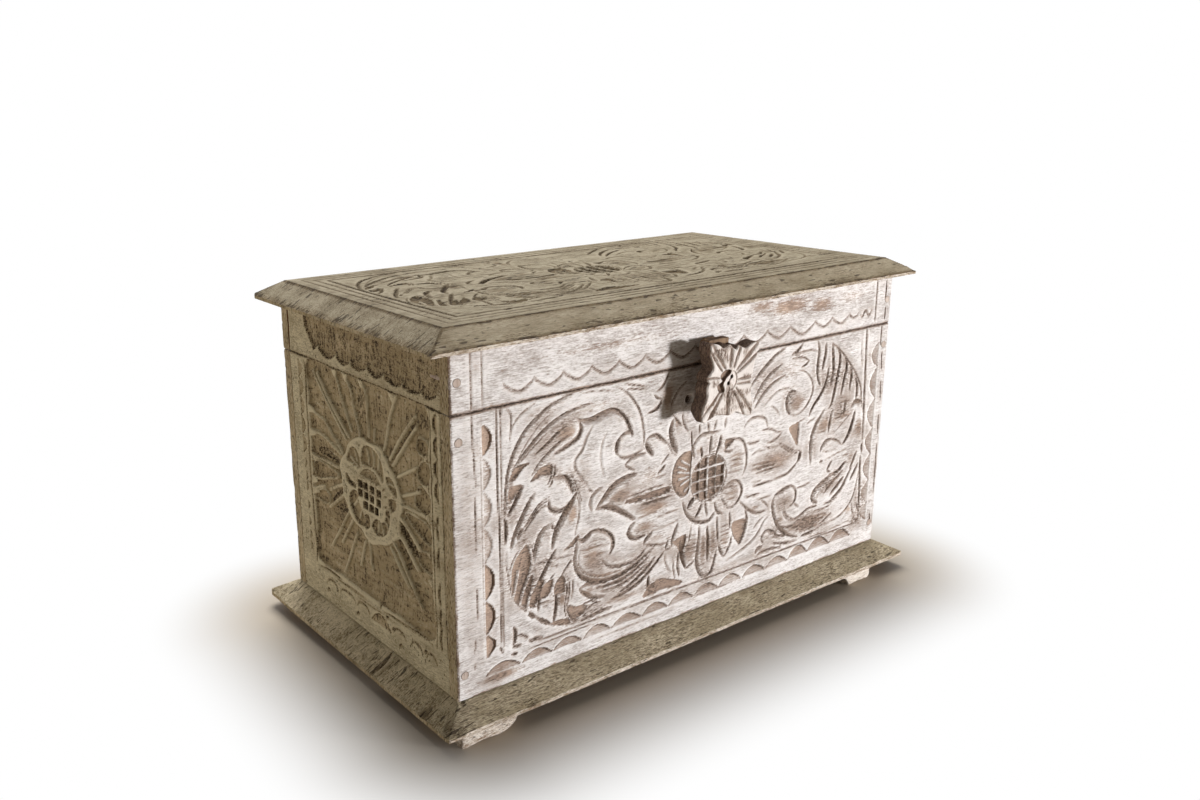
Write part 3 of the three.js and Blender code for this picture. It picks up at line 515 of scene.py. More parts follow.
def left_feathers(c):
    """Overlapping feather-shaped leaves that fill the cartouche's left end."""
    c.dish(0.7, 0.7, (55.6, 128.4), (60, 132.6), (65, 135.6), (72, 135.2), (71.4, 129.6), (65, 130),
           (60, 129))
    c.double(2.2, 1.2, 0.95, (73, 135), (73, 129), (70.6, 124), (68.6, 122.6))
    c.cut(4.4, 0.5, (72, 126.4), (78, 126.6), (83.4, 125), (87, 119.5), (88.6, 113), lean=-0.5)
    c.double(1.8, 1, 0.6, (83.4, 128), (87.4, 123.4), (90.6, 116.6), (93, 110), (95, 105))
    c.cut(3.6, 1, (69.6, 113), (69.4, 109), (72, 105.6), (78, 103.6), (84, 105), (87.4, 109.4), lean=0.3)
    c.cut(3.4, 1, (59, 120.6), (55, 117), (51, 111), (46, 103), (42, 95), (40, 88))
    c.cut(3.6, 0.85, (50.4, 126.6), (47.4, 123), (43.6, 116.6), (38, 110))
    c.dish(0.4, 0.65, (40.6, 127.8), (50, 127.2), (45, 121.4), (40, 119))
    for shift in (0, 1.9, 3.8):
        c.cut(1.1, 0.75, (70, 115.6 - shift), (62, 112.4 - shift), (55.4, 106 - shift),
              (50, 99.6 - shift * 0.7))
    c.cut(2.2, 0.9, (49.6, 99.6), (47, 97.6), (45.2, 93.4))
    c.cut(4.4, 1, (91, 113.4), (88, 109), (83, 103), (78, 97), (74.4, 91), (72.4, 85), (71.6, 80))
    c.patch(0.95, 87.6, 100.5, 5.4, 9)
    c.cut(1.3, 0.4, (91.4, 112), (93.6, 104), (93, 96), (90.6, 88), (90.4, 84))
    c.cut(3.4, 0.95, (70, 97.4), (65, 95.6), (61, 91), (58.6, 84), (57, 78), (57, 75))
    c.patch(0.6, 66, 92.5, 3.4, 5)
    c.cut(1.6, 0.9, (71.2, 97.6), (73, 93.2), (76, 94.6))
    c.cut(1.6, 0.85, (57, 73.8), (66, 73.4), (76, 73), (88, 72))
    c.cut(3.6, 0.95, (75, 79.6), (71, 75), (67, 69), (62.4, 62), (58.4, 55), (55, 49.6))
    c.cut(1.7, 0.9, (87.6, 69.6), (83, 65), (78.6, 60))
    c.dish(0.9, 0.6, (81.4, 77), (86, 80), (91, 83.6), (93.6, 83.4), (91, 79), (87, 77.4), deep=1)
    c.cut(1.5, 0.7, (73.5, 63.2), (70, 60.2))
    c.cut(1.8, 0.8, (74, 68.4), (76.2, 68.2))


def left_blades(c):
    """Dark pointed blades at the foot of the left end, with narrow ridges between them."""
    c.dish(0.5, 0.95, (40.6, 66), (41.6, 75), (45, 82), (50, 87), (53.6, 87.6), (55.4, 80), (54.6, 70),
           (51.4, 60), (47.4, 51.4), (43, 55), deep=1.3)
    c.dish(0.7, 0.95, (47.6, 51), (49.4, 60), (53.6, 68), (56.6, 66), (55, 56), (52.4, 46.4), deep=1.5)
    c.dish(0.75, 0.9, (54, 46.6), (56.6, 54), (61, 61.4), (65.6, 60), (62.6, 52), (58.6, 46), deep=1.5)
    c.dish(0.6, 0.85, (62.6, 50), (66, 57.6), (72.6, 60), (72, 54), (67, 48.6), deep=1.3)
    c.cut(2.4, 0.75, (50.6, 84), (47.4, 73), (43.4, 59))
    c.cut(2.2, 0.6, (53.4, 82), (51, 71), (47, 57))
    c.lift(1, 0, (40, 66), (40.6, 74), (43.4, 81), (48, 86.4), (53, 90))
    c.lift(1.5, 0, (53, 90), (56, 83), (56.4, 75), (53.8, 66), (50, 58), (47.2, 50.4))
    c.lift(1.2, 0, (46.4, 72), (44.4, 63), (42, 56))
    c.lift(1.4, 0, (59.6, 60.4), (55, 53), (52.6, 43.6))
    c.cut(1.3, 0.85, (54, 90), (57.2, 83), (57.6, 75.6))
    c.cut(1.3, 0.7, (39.6, 64), (39.4, 74), (42.6, 82), (47.6, 87.6))
    c.cut(2, 0.9, (52, 59), (56, 59.4), (60, 59))
    c.cut(2.8, 0.95, (66, 62), (63.4, 54), (61.6, 47), (60.4, 41))
    c.cut(2, 0.8, (70.6, 49.6), (71, 49))
    c.cut(2.8, 0.95, (75, 50), (75.2, 42), (73.8, 34), (72.6, 28.6))
    c.cut(1.3, 0.75, (64, 43.6), (68.6, 42.8))
    c.cut(1.3, 0.75, (56, 45), (64, 46), (72.6, 45.2))
    c.dish(0.6, 0.95, (79.4, 60), (74.8, 54), (74, 49), (79, 48), (82.4, 50.4), (82.2, 56), deep=1.2)
    c.cut(2.6, 0.9, (80, 60.6), (75.6, 56), (73.8, 50))
    c.patch(0.8, 79.4, 44, 2.6, 4.4)
    c.double(2, 1.1, 0.8, (80.8, 61), (84, 55), (84.6, 48), (83, 40), (83.4, 33), (88, 24.4))
    c.cut(1.4, 0.35, (88.4, 55), (88.2, 48), (87.4, 42))


def low_left_scroll(c):
    """A leaf that curls up into a round hook, with a tail of long ridges running to the right."""
    c.cut(3.2, 1, (93, 83.4), (90.6, 76), (89.4, 68), (90.8, 60.6), (95, 54.4), (101, 50), (108, 47),
          (116, 45.4), (126, 45.8), (135, 47.4), (143, 50.2), (151, 54.4), (158, 58.4))
    c.cut(2, 0.5, (94, 74), (92.6, 66), (95, 60), (101, 54.6), (110, 50.8), (122, 49.4), (136, 51),
          lean=0.5, deep=0.8)
    c.cut(4, 0.9, (92.8, 81), (96.6, 79.8), (100, 81.6), (104, 83.4), lean=-0.3)
    c.cut(2.6, 0.8, (98, 82), (104, 84), (111, 83.2), (117, 80.2), (121, 76), (122.6, 71), (121, 66),
          (117.6, 63))
    c.cut(1.3, 0.5, (117.4, 80), (120.6, 76), (121, 70.6), (119.4, 66))
    c.patch(0.55, 104, 68, 12, 14)
    c.patch(0.55, 112, 50, 22, 5)
    c.cut(1.3, 0.4, (95, 72.2), (107, 72.4), (119, 71.6))
    c.cut(1.2, 0.35, (92.4, 68.6), (106, 67.2), (119, 66.4))
    c.cut(2.4, 0.85, (111.4, 63.2), (114, 59), (119, 55.2), (126, 53), (135, 52.4), (142, 53.2), (147, 56),
          (151.4, 60))
    c.cut(2.4, 0.85, (93.4, 46.6), (99, 48.4), (105, 47.6), (111, 45))
    c.cut(2.8, 0.85, (93.4, 46.6), (97, 42.6), (102, 38.6), (108, 36), (115, 35.4))
    c.patch(0.7, 102, 43.4, 8, 4)
    c.cut(2.4, 0.8, (106, 43.6), (116, 42), (128, 42.2), (139, 45), (148, 49.4), (155, 54.4))
    c.cut(2, 0.7, (110, 39.6), (121, 38.8), (132, 39.6), (143, 43.4), (152, 48.6))
    c.cut(2.8, 0.95, (126, 33.4), (136, 36), (145, 40), (153, 45), (160, 51.4))
    c.cut(2.6, 0.9, (119, 31), (132, 32.4), (143, 35), (152, 39.4), (160, 45.6), (168, 53))
    c.patch(0.6, 130, 30, 20, 3.4, 0.3)
    c.cut(2.6, 0.75, (83.6, 38), (85, 32.4), (88, 27.4), (93, 24.6))
    c.dish(0.5, 0.6, (84.4, 38), (91, 35.4), (99, 34.4), (99, 30), (93, 27), (87.6, 28.6), deep=1)
    c.cut(1.5, 0.8, (97, 35.6), (103, 35.6), (109, 33.4))
    c.cut(1.6, 0.8, (98.6, 29.4), (104, 32.4), (112, 32.6))
    c.cut(3.2, 0.85, (154, 38.6), (153.6, 33), (153.6, 27.4))
    c.cut(1.8, 0.45, (100, 113), (104.6, 110.4))


def left_big_leaf(c):
    """The broad leaf that points left from the flower, with a sunk band along its middle."""
    c.cut(2.6, 0.6, (103.6, 97.6), (101.8, 102), (103, 107), (107, 110.6), (113, 112.2))
    c.cut(4.6, 0.9, (107, 98), (112, 102.8), (118, 108.6), (125, 112.4), (133, 114.2), (142, 114.8),
          lean=-0.6)
    c.cut(4, 0.8, (107, 98), (114, 97), (121, 94.6), (128, 90.6), (134, 86.6), (141, 82.4), lean=0.55)
    c.cut(3.2, 0.95, (141, 81), (137, 79), (134.4, 75), (135.8, 71.6), (139, 69.2), (144, 68.2), (151, 69.2))
    c.cut(1.2, 0.35, (150, 69.2), (160, 71), (172, 71.2), (183, 73.6))
    c.cut(1.5, 0.85, (130, 99.4), (145, 100.4), (156, 101), (165.4, 101))
    c.dish(0.55, 0.85, (131, 97), (145, 98), (158, 98.4), (171, 98.4), (170, 94.6), (158, 94.2), (145, 94.8),
           (136, 95.2), deep=1.5, slope=1.4)
    c.cut(2, 0.85, (144, 91), (152, 91.6), (162, 91.8), (174.6, 91.2))
    c.patch(0.8, 157, 87, 17, 5)
    c.patch(0.55, 126, 103, 15, 8)
    c.patch(0.5, 148, 75, 14, 5)
    c.cut(1.2, 0.55, (160, 79), (170, 80), (181, 80.6))
    c.cut(1.2, 0.5, (141, 82.4), (150, 83.4), (160, 83.8))
    c.cut(3, 1, (148.6, 62.6), (150.8, 66), (156.4, 69.8), lean=-0.2)
    c.cut(1.7, 0.7, (148.4, 62.2), (155, 60.4), (163, 58.6), (169, 58), (172.4, 60.2))
    c.patch(0.4, 160, 64.6, 9, 4)
    c.cut(3.2, 1, (180, 70.2), (177.2, 64.4), (175.2, 59), (174.6, 54.4))
    c.cut(2.2, 0.9, (171.6, 60.6), (169.6, 56.4), (168.6, 53.4))
    c.cut(1.4, 0.8, (168.6, 53), (174, 54.2))
    c.cut(1.3, 0.45, (168.4, 52), (168.6, 45), (171.4, 39), (175, 35))
    c.cut(1.4, 0.55, (176, 47), (176.8, 38), (179, 28))
    c.cut(2.4, 0.9, (181, 50.4), (181.2, 43), (180.8, 37.4), (182.8, 30))
    c.dish(0.45, 1, (149, 25.4), (156, 31.4), (165, 33), (175, 30), (185, 26), (184, 24), (165, 24.2),
           (152, 23.8), deep=1)
    c.cut(2, 0.85, (154.6, 27.4), (160.4, 23.6))
    c.cut(2, 0.85, (160.6, 23.4), (163.4, 28))


def upper_lobes(c):
    """Small lobed leaves between the left hook and the flower."""
    c.cut(2.4, 0.7, (131, 122.6), (137, 125.6), (144, 126.8), (150.4, 126.4), lean=-0.3)
    c.cut(1.7, 0.6, (131, 122.6), (135, 119.4), (140.4, 116.4))
    c.cut(2.6, 0.75, (149, 134.6), (151.4, 136.8), (155, 137.6), (159, 137), (164, 133.4), (168, 129))
    c.cut(4.2, 0.9, (149.4, 134.6), (150, 131), (152, 127.4), (155.6, 123.4), lean=0.4)
    c.double(1.8, 1.1, 0.65, (168, 131.6), (171, 127), (174, 122.4), (177.6, 119.4))
    c.cut(1.7, 0.75, (174, 145.4), (177, 143.2), (180.4, 138.8))
    c.cut(4.4, 0.85, (172.8, 145), (171, 140), (171.2, 134), (173.6, 127), (177.6, 120.6), lean=0.5)
    c.patch(0.7, 175.6, 141, 3.4, 4)
    c.cut(1.3, 0.5, (172, 148.6), (176, 144.4), (181, 139.8))
    c.cut(1.8, 0.65, (181, 148), (182, 142), (184, 137.6), (187, 133.8))
    c.cut(2.2, 0.8, (190, 133.6), (190.6, 128), (192, 120), (194, 113))
    c.cut(1.8, 0.6, (168, 178), (166, 173), (162, 168.4), (157, 166.4))
    c.cut(2.4, 0.7, (150, 153.4), (155, 153.4), (159, 155), (161.6, 158), (162.2, 161))
    c.cut(1.6, 0.5, (155, 165), (158, 162), (162.2, 160.6))
    c.cut(1.8, 0.6, (170.4, 150), (170.8, 155.4), (173.6, 160.4), (178.4, 165.6), (185, 169.4))
    c.patch(0.8, 167.4, 161, 5, 11)
    c.cut(1.7, 0.5, (170, 122), (166.4, 118.6), (163, 116))
    c.cut(2.2, 0.65, (167, 115), (163.6, 112), (160, 109.6))
    c.cut(1.1, 0.4, (157, 107.4), (168, 107.6))
    c.patch(0.35, 152, 110, 15, 9)


FLOWER_U, FLOWER_V = 209, 96
DISC_REACH = 16.8


def flower(c):
    """A crosshatched disc with dished petals round it and four long petals hanging below."""
    apart = np.hypot(c.u - FLOWER_U, (c.v - FLOWER_V) * 1.03)
    at = np.flatnonzero(apart < DISC_REACH)
    inside = unit((DISC_REACH - apart[at]) / 1.2)
    rows = np.abs((c.v[at] - 95.2 + 4.1) % 8.2 - 4.1)
    columns = np.abs((c.u[at] - 208.6 + 4) % 8 - 4)
    bars = np.clip(np.minimum(rows, columns) - 0.45, 0, 0.7) / 0.7
    core = np.clip(1.5 - apart[at] / 15, 0.5, 1)
    c.deepen(at, inside * (0.25 + 1.7 * bars), 0.5 * inside * bars * core, 0.3)
    ring = [(FLOWER_U + 17.4 * math.cos(a), FLOWER_V + 16.9 * math.sin(a)) for a in np.linspace(0.2, 6.4, 20)]
    c.cut(1.5, 0.55, *ring, deep=0.9, ends=0.1)
    # The left petal, darkest in the crescent along its outer side
    c.dish(0.25, 0.95, (191, 119), (185, 118.2), (179.6, 115.4), (176, 110), (175, 104), (175.8, 98),
           (178.4, 92.6), (183, 88.8), (188, 89), (190.4, 94), (191, 104), (191.6, 112), deep=1.5, slope=5)
    c.cut(5.6, 0.95, (189, 119), (183, 117.8), (178.4, 114), (175.8, 108), (175.4, 101), (177.2, 95),
          (181, 90.2), (185.6, 88.2), lean=0.55, deep=2)
    c.lifts(0.9, 0.5, [(184, 113), (190.6, 109)], [(181, 105.8), (190.6, 103.2)],
            [(183.6, 96), (190.6, 99)], [(186.6, 91), (191, 94.6)], [(180.6, 109.8), (188, 106.4)],
            [(181.6, 100.4), (190, 101)])
    # The top petals
    c.cut(2.2, 0.7, (192.8, 118), (192.9, 122.4), (195.4, 126.4), (200, 129), (206, 129.4), (213, 128.6),
          (218.4, 128.4))
    c.patch(0.6, 198, 118, 5, 6)
    c.cut(2.6, 0.75, (199.8, 120.4), (201, 116), (201.6, 111.8))
    c.cut(3, 0.85, (209.6, 127), (209.2, 120), (209, 113))
    c.cut(2.8, 0.75, (219, 125.4), (218.6, 119), (215.2, 111.6))
    for top, foot in ((197.6, 198), (205.4, 207), (213.6, 212), (223, 222.4)):
        c.cut(2, 0.55, (top, 137), (foot, 129.6))
    # The right petal and the one below it
    c.cut(2, 0.6, (223.4, 119.6), (230, 119.8), (236, 119.2), (240.6, 117.4), (244, 112.6), (246, 106.4),
          (246.4, 100), (245, 94.4), (242, 90))
    c.dish(0.75, 0.5, (224, 120), (233, 119.6), (230, 116.6), (224.4, 113.6), deep=1.4)
    c.cut(2, 0.7, (222, 113.4), (227, 111), (231.4, 111.6))
    for height, start, last in ((107, 228, 244), (103.4, 228, 242), (99.4, 229, 243), (95.4, 227, 241)):
        c.cut(1.3, 0.5, (start, height), ((start + last) / 2, height + 0.4), (last, height - 0.2), deep=0.5)
    c.patch(0.45, 236, 104, 9, 12)
    c.cut(1.9, 0.65, (220, 80.4), (226, 86.4), (232, 88.6), (237, 88), (241, 84.6), (242.8, 79.6),
          (241.4, 74.6), (237, 70.2), (231, 68.6), (226, 71), (221.4, 77))
    c.cut(1.3, 0.5, (223, 85.4), (230, 85), (237, 84))
    c.cut(1.3, 0.5, (224, 79.8), (232, 79.8), (239, 79.4))
    c.cut(1.3, 0.45, (228, 75), (237, 76))
    c.cut(1.7, 0.85, (221, 79.6), (224.4, 74.6), (229, 70.4))
    c.patch(0.4, 233, 79, 9, 7)
    # The lower petals
    c.cut(2.8, 0.85, (183.6, 85), (185, 80), (187.2, 75), (190.6, 71), (196, 66.8), (202, 64.4), (208, 63.6),
          (212, 65), (215.6, 69.4))
    c.cut(4.6, 0.8, (195.4, 85), (192, 81), (189, 78))
    c.cut(3, 0.8, (203, 78.6), (200, 73), (196.4, 69))
    c.cut(2.2, 0.85, (205.6, 79), (207, 73), (208.2, 68.4))
    c.cut(2.2, 0.85, (215, 77.4), (216.4, 71.4), (219.4, 67.6), (224.6, 65.8))
    c.cut(3, 0.5, (215.6, 68.6), (211, 65))
    for u, v in ((201, 83.6), (205, 83), (209, 82.4), (212.6, 82.6), (216.6, 83.4), (203, 79.8), (211, 79.4)):
        c.cut(2.6, 0.85, (u - 0.6, v), (u + 0.6, v), deep=1)
    long_petals(c)


def long_petals(c):
    c.cut(1.7, 0.5, (192.6, 66), (192.2, 59), (190.6, 53))
    c.cut(3.8, 0.9, (184.6, 57), (184, 50.4), (184.8, 44), (187, 37.6), (188.8, 34), lean=0.2)
    c.cut(2, 0.8, (188.8, 34), (193, 35.6), (197, 37.6))
    c.dish(0.5, 0.9, (176, 57), (181, 58.6), (188, 59.4), (187, 51), (184, 46), (181, 51.4), deep=1.2)
    c.cut(2.8, 0.95, (200.8, 64), (200.2, 55), (199.2, 46), (198.6, 38), (200, 31), (203, 25.4), (207, 22.8),
          (211.6, 22.4), (214.6, 24.4), (216.8, 30), (218.2, 36), (219.4, 42))
    c.cut(2.8, 0.95, (208.6, 61.4), (209.6, 52), (210.2, 43), (210, 33))
    c.cut(2.2, 0.8, (218, 66), (218.6, 58), (219.4, 50), (220.2, 43))
    c.cut(3.2, 0.85, (221, 43.6), (222.8, 38), (226.6, 32.4))
    c.cut(2, 0.8, (226.6, 32.4), (230, 36), (233.2, 41), (234.2, 47))
    c.cut(2.2, 0.9, (230.6, 66), (231.6, 60), (231.6, 53))
    c.dish(0.4, 0.9, (234.4, 56), (234.8, 51), (237.2, 45), (240, 41), (243, 38.6), (246, 43), (248.6, 49),
           (249.2, 55), (242, 57), deep=1.3)
    c.cut(2.2, 0.8, (234, 57), (234.6, 51), (237, 45), (240.2, 41), (243, 38.4), (246, 42.6), (248.6, 49),
          (249.4, 57), (246.6, 64.4))
    c.patch(0.5, 209, 45, 11, 14, 0.15)
    c.patch(0.5, 226, 45, 5, 9, 0.2)
    c.patch(0.45, 191, 47, 5, 10, 0.15)
    c.stripes(0.6, 187.6, 197.6, 57.4, 53.8, 50.6, 47.4, 44.4, 41.4, 38.6)
    c.stripes(0.5, 201.6, 208, 52, 48.6, 45.4, 42, 38.8, 35.6, 32.4)
    c.stripes(0.5, 211.6, 218, 54, 51, 47.4, 44, 40.8, 37.6, 34.4)
    c.stripes(0.65, 222, 231.6, 56, 52.6, 49.4, 46, 42.6, 39)


def right_leaf(c):
    """The broad leaf that points right from the flower, and the hollow that runs under it."""
    c.double(1.7, 1.1, 0.75, (279, 106.4), (286, 102.4), (292, 98.8), (298, 96.4), (304, 95.4))
    c.cut(3, 0.9, (304.4, 95.8), (304.4, 91), (301.8, 87.6))
    c.cut(2, 0.65, (302.6, 88.6), (297, 84), (291, 80.8), (284, 79.8), (275, 79.6))
    c.cut(1.7, 0.55, (252, 95.4), (266, 94.6), (279, 95))
    c.cut(2.2, 0.85, (251, 92), (264, 92), (277, 91.4))
    c.cut(1.8, 0.8, (256, 88.6), (270, 88.6), (286, 89.4))
    c.cut(1.4, 0.45, (251, 82.6), (263, 82.2))
    c.cut(2, 0.85, (253, 79.8), (262, 79.2), (275, 79.4))
    c.cut(1.8, 0.85, (245, 73.2), (253, 72.6), (262, 72))
    c.patch(0.6, 276, 94, 24, 9)
    c.cut(1.9, 0.65, (245, 113.6), (252, 112.2), (259, 113))
    c.cut(1.4, 0.45, (250, 103.2), (257, 105.4), (266, 104.6))
    c.cut(1.4, 0.45, (262, 107.6), (270, 105.4), (279, 104.8))
    c.cut(2, 0.5, (241, 125), (244.4, 129), (250, 131.4), (257, 131.2), (263, 129), (265.6, 125.4),
          (266, 121))
    c.cut(1.5, 0.7, (260, 120), (266, 120.2), (272, 118.4), (277, 115.6), (282.6, 114.8))
    c.cut(1.7, 0.6, (282.6, 114.8), (278, 111.2), (272, 109.2), (266, 109.2))
    c.cut(1.8, 0.85, (240, 71.6), (246, 66), (251, 61.6), (256.6, 58.4), (263, 57.2), (270.6, 57.6))
    c.cut(1.5, 0.65, (271.6, 59.4), (268, 63.6), (263.4, 67))
    c.cut(1.5, 0.55, (258, 68.4), (266, 67.8), (275, 68.4))
    c.patch(0.6, 256, 62, 5, 3)
    c.cut(2.4, 0.45, (273, 53), (267, 49), (262.4, 42.6), (256, 37.6), (249, 34.4), (240, 31.6), (229, 28.6),
          lean=0.4)
    c.cut(1.6, 0.55, (256, 46), (261, 50.4), (267, 53.2))
    c.dish(0.15, 0.95, (290, 116), (296, 117.6), (300.4, 118.4), (301, 110), (300.2, 101), (295.6, 107),
           deep=1)
    c.cut(1.7, 0.55, (301.6, 118), (300.9, 109), (300.2, 100.6))
    c.cut(1.3, 0.45, (293, 116.4), (300, 118.4), (307, 120.2))


def top_right_scroll(c):
    """A leaf arm that mirrors the left one, with a round hook and long gouged lines beside the latch."""
    c.cut(3.4, 0.95, (296.6, 142), (292, 143.4), (288, 142.4), (286, 139), (285.6, 134), (287, 129.6),
          (290.4, 126))
    c.cut(1.5, 0.5, (290, 126.2), (296, 124.4), (303, 126), (309, 130.4), (313, 136), (314.4, 141.6),
          (313, 147.4), (308.6, 153), (303, 156.6), (296, 158.4))
    c.patch(0.5, 298, 134, 10, 8)
    c.patch(0.3, 286, 160, 24, 10)
    c.cut(1.7, 0.45, (261, 137.6), (267, 142), (274, 145.8), (282, 147.2), (289, 146), (294, 143.4))
    c.cut(1.5, 0.3, (268, 137), (273, 134.4), (277, 130.4), (279.4, 127))
    c.cut(2.8, 0.95, (246, 154), (251, 159), (257, 164), (264, 168.8), (271, 173.4), (281, 177.2))
    c.cut(2.8, 0.9, (249.6, 142), (254, 149), (260, 155.4), (268, 161.4), (279, 165.8))
    c.cut(2.6, 0.85, (251.4, 137.6), (256, 143), (262, 148.4), (270, 153.4), (282.6, 157.2))
    c.cut(2.4, 0.8, (288, 170.4), (294, 172), (298, 174.8), (299.4, 177.4))
    c.cut(1.4, 0.45, (289, 170.2), (300, 171.2), (310, 171.4), (318, 168.4))
    c.cut(2, 0.65, (288.6, 167.8), (296, 167.8), (303, 166.4), (308.4, 163.6))
    c.cut(1.8, 0.6, (308.2, 163.6), (304.4, 160.8), (299.4, 159.8))


def right_feathers(c):
    """Long gouged feathers that fan down the cartouche's right end, over rougher ones."""
    c.cut(3, 1, (316.4, 177), (318.6, 170), (318.2, 162), (318, 154), (319.6, 147), (323, 141.2))
    c.cut(2.8, 0.75, (326, 174), (326.6, 166), (325, 159), (323.4, 153.4))
    c.cut(2.8, 0.95, (330.8, 156), (330.4, 148), (328, 141), (323.4, 134.4), (318, 129.4), (314, 125),
          (311.4, 120.8))
    c.cut(2.9, 0.85, (333.4, 173), (335.6, 164), (337, 155), (336.6, 147), (334, 139.4))
    c.cut(2.9, 0.9, (340, 169), (343.6, 163), (344.4, 156), (343, 148), (341, 139), (339, 131), (336.6, 125),
          (333.2, 122.4))
    c.cut(2.8, 0.85, (349, 161), (352.4, 155), (352.4, 149), (350.6, 142), (348.6, 135), (347, 130.4))
    c.cut(2.6, 0.75, (356.6, 151.4), (359, 146), (358.6, 139), (357, 132))
    c.cut(2.6, 0.8, (363.6, 142), (366.6, 136), (367.2, 130), (366.4, 123.6))
    c.cut(4, 0.6, (360, 118), (366, 123.4), (372.6, 121.6))
    c.cut(2.4, 0.9, (353.6, 126.4), (352.6, 120), (352.4, 114))
    c.cut(2.8, 0.85, (338.4, 121.4), (336.8, 114), (335.6, 107), (335, 103.4))
    c.cut(3.2, 1, (329, 123.4), (325, 119), (320, 113.6), (316.6, 107), (315.2, 100), (315.4, 92),
          (316.6, 82.6))
    c.cut(1.5, 0.5, (309.4, 115), (313, 116.8), (319, 118.4))
    c.cut(1.1, 0.4, (338, 124.4), (352, 124.8), (366, 124))
    c.patch(0.7, 332, 111, 15, 7, 0.25)
    c.patch(0.7, 352, 114, 12, 4.4, 0.4)
    c.patch(0.6, 372, 101, 5, 8, 0.35)
    c.patch(0.6, 370, 122, 5, 5, 0.5)
    for height in (116.4, 113.6, 110.8, 108, 105.4):
        c.stripes(0.5, 318.6 + (116.4 - height) * 0.2, 334, height)
    c.stripes(0.6, 340, 360, 115.8, 113.2)
    c.stripes(0.6, 367.6, 375, 106, 103, 99.6, 96.4)
    c.cut(1.3, 0.45, (341, 101.6), (349, 106.4), (357, 111.6), (364, 116.2))
    c.cut(3.4, 0.85, (327, 90.4), (329.6, 94.4), (334, 97.6), (340, 98), lean=-0.3)
    c.cut(1.7, 0.7, (338, 98.2), (344, 96.6), (349, 93.8), (353, 90.4))
    c.cut(1.2, 0.45, (330, 89.6), (338, 88.2), (346, 88.6))
    c.cut(3.2, 1, (366.4, 115.6), (365.2, 108), (363, 101), (359, 94.6), (353.6, 90.6))
    c.cut(2.4, 0.85, (327, 81.8), (331, 82))
    c.cut(2.6, 0.95, (342, 80.2), (339, 76.4), (336.8, 73))
    c.cut(1.8, 0.7, (337, 72.4), (341.6, 71))
    c.cut(1.2, 0.4, (333, 82), (346, 84.4), (360, 86.4))
    c.cut(1.3, 0.5, (354, 80.6), (362, 81.4))


def low_right_scroll(c):
    """A crescent leaf that curls up at its left end and spreads into blades at its right."""
    c.cut(4, 0.95, (297, 70.6), (290, 69.6), (283, 67.6), (277.6, 66.4), lean=0.2)
    c.cut(3, 1, (279, 67), (276, 62.6), (276.4, 55.4), (279, 48.6), (282.4, 42), (287, 37), (293, 32.4),
          (300, 28.6), (307, 27))
    c.cut(1.7, 0.75, (294, 70.8), (298.6, 69), (301.8, 65), (302, 59.4), (299.4, 55.4), (293.6, 54))
    c.cut(1.5, 0.6, (302.4, 66.8), (310, 66.8), (318, 68.2))
    c.cut(1.7, 0.55, (300.6, 55.4), (303, 53), (306.4, 51.4))
    c.double(1.7, 1.1, 0.7, (288.8, 55.6), (290, 50), (294, 45), (300, 42.2))
    c.cut(2.4, 0.9, (297, 42.8), (303, 42.4), (309, 43.8), (315, 46.2), (321, 47.4), (328.4, 46.4))
    c.patch(0.65, 318, 36, 34, 8, 0.22)
    c.patch(0.6, 285, 46, 5, 5, 0.4)
    c.cuts(1.6, 0.7, [(283, 40.4), (292, 38), (304, 37.4)], [(301, 41), (312, 39.6), (324, 39)],
           [(318, 36.6), (328, 38), (339, 38.6)], [(303, 33), (314, 31.8), (327, 33)],
           [(321, 35.6), (331, 35), (340, 36.6)], [(296, 34.6), (304, 35.6), (313, 35.4)],
           [(322, 43.6), (334, 42.4), (345, 44)], [(308, 29.6), (318, 29.4), (330, 31)],
           [(330, 29.6), (338, 32.6), (346, 37)], [(334, 46.4), (344, 46), (352, 48.4)])
    c.cut(3.2, 0.9, (311, 26), (319, 25.8), (327, 26.8))
    c.cut(3.8, 1, (341, 68.4), (333, 65.2), (325.6, 61.8), (321.6, 58.6), (320.8, 54), (323.4, 50.6),
          (328, 49))
    c.cut(3.2, 0.95, (339, 68.2), (346, 68.4), (352, 69.6), (357, 74), (360, 75.4))
    c.cut(2.8, 0.8, (357, 69.4), (351, 65.4), (343, 61.2), (334.4, 54.6))
    c.cut(3.2, 0.8, (358, 63.6), (351, 57.4), (342, 51.6))
    c.cut(2.8, 0.7, (362, 60.4), (356, 53.6), (348, 48.6), (341, 46))
    c.cut(2.4, 0.65, (367.6, 70), (362, 62), (356, 55.4))
    c.cut(2.8, 0.8, (375.4, 71.4), (371.4, 65), (366, 58.4))
    c.cut(2.6, 0.6, (372, 82), (368.4, 74), (364.4, 68))
    c.patch(0.55, 346, 60, 18, 8, 0.2)
    c.patch(0.4, 366, 76, 7, 9, 0.2)
    c.cut(2.4, 0.95, (268.6, 31.6), (265.8, 35), (267, 39.4), (271.6, 41.3), (277, 39.6), (284, 34.4))
    c.cut(1.3, 0.6, (273, 38.6), (281, 35.6), (289, 31.6))
    c.cut(2.2, 0.85, (277, 34.2), (286, 32.6), (296, 31))
    c.cut(2, 0.85, (276, 30.2), (286, 26.8), (296, 24.8), (307, 24.4))
    c.cut(3, 0.9, (259.6, 26), (262.6, 29.6), (267.4, 29.4))
    c.cut(2.6, 0.85, (261, 24.4), (275, 25), (289, 23.4))
    c.patch(0.7, 270, 26.6, 10, 2)


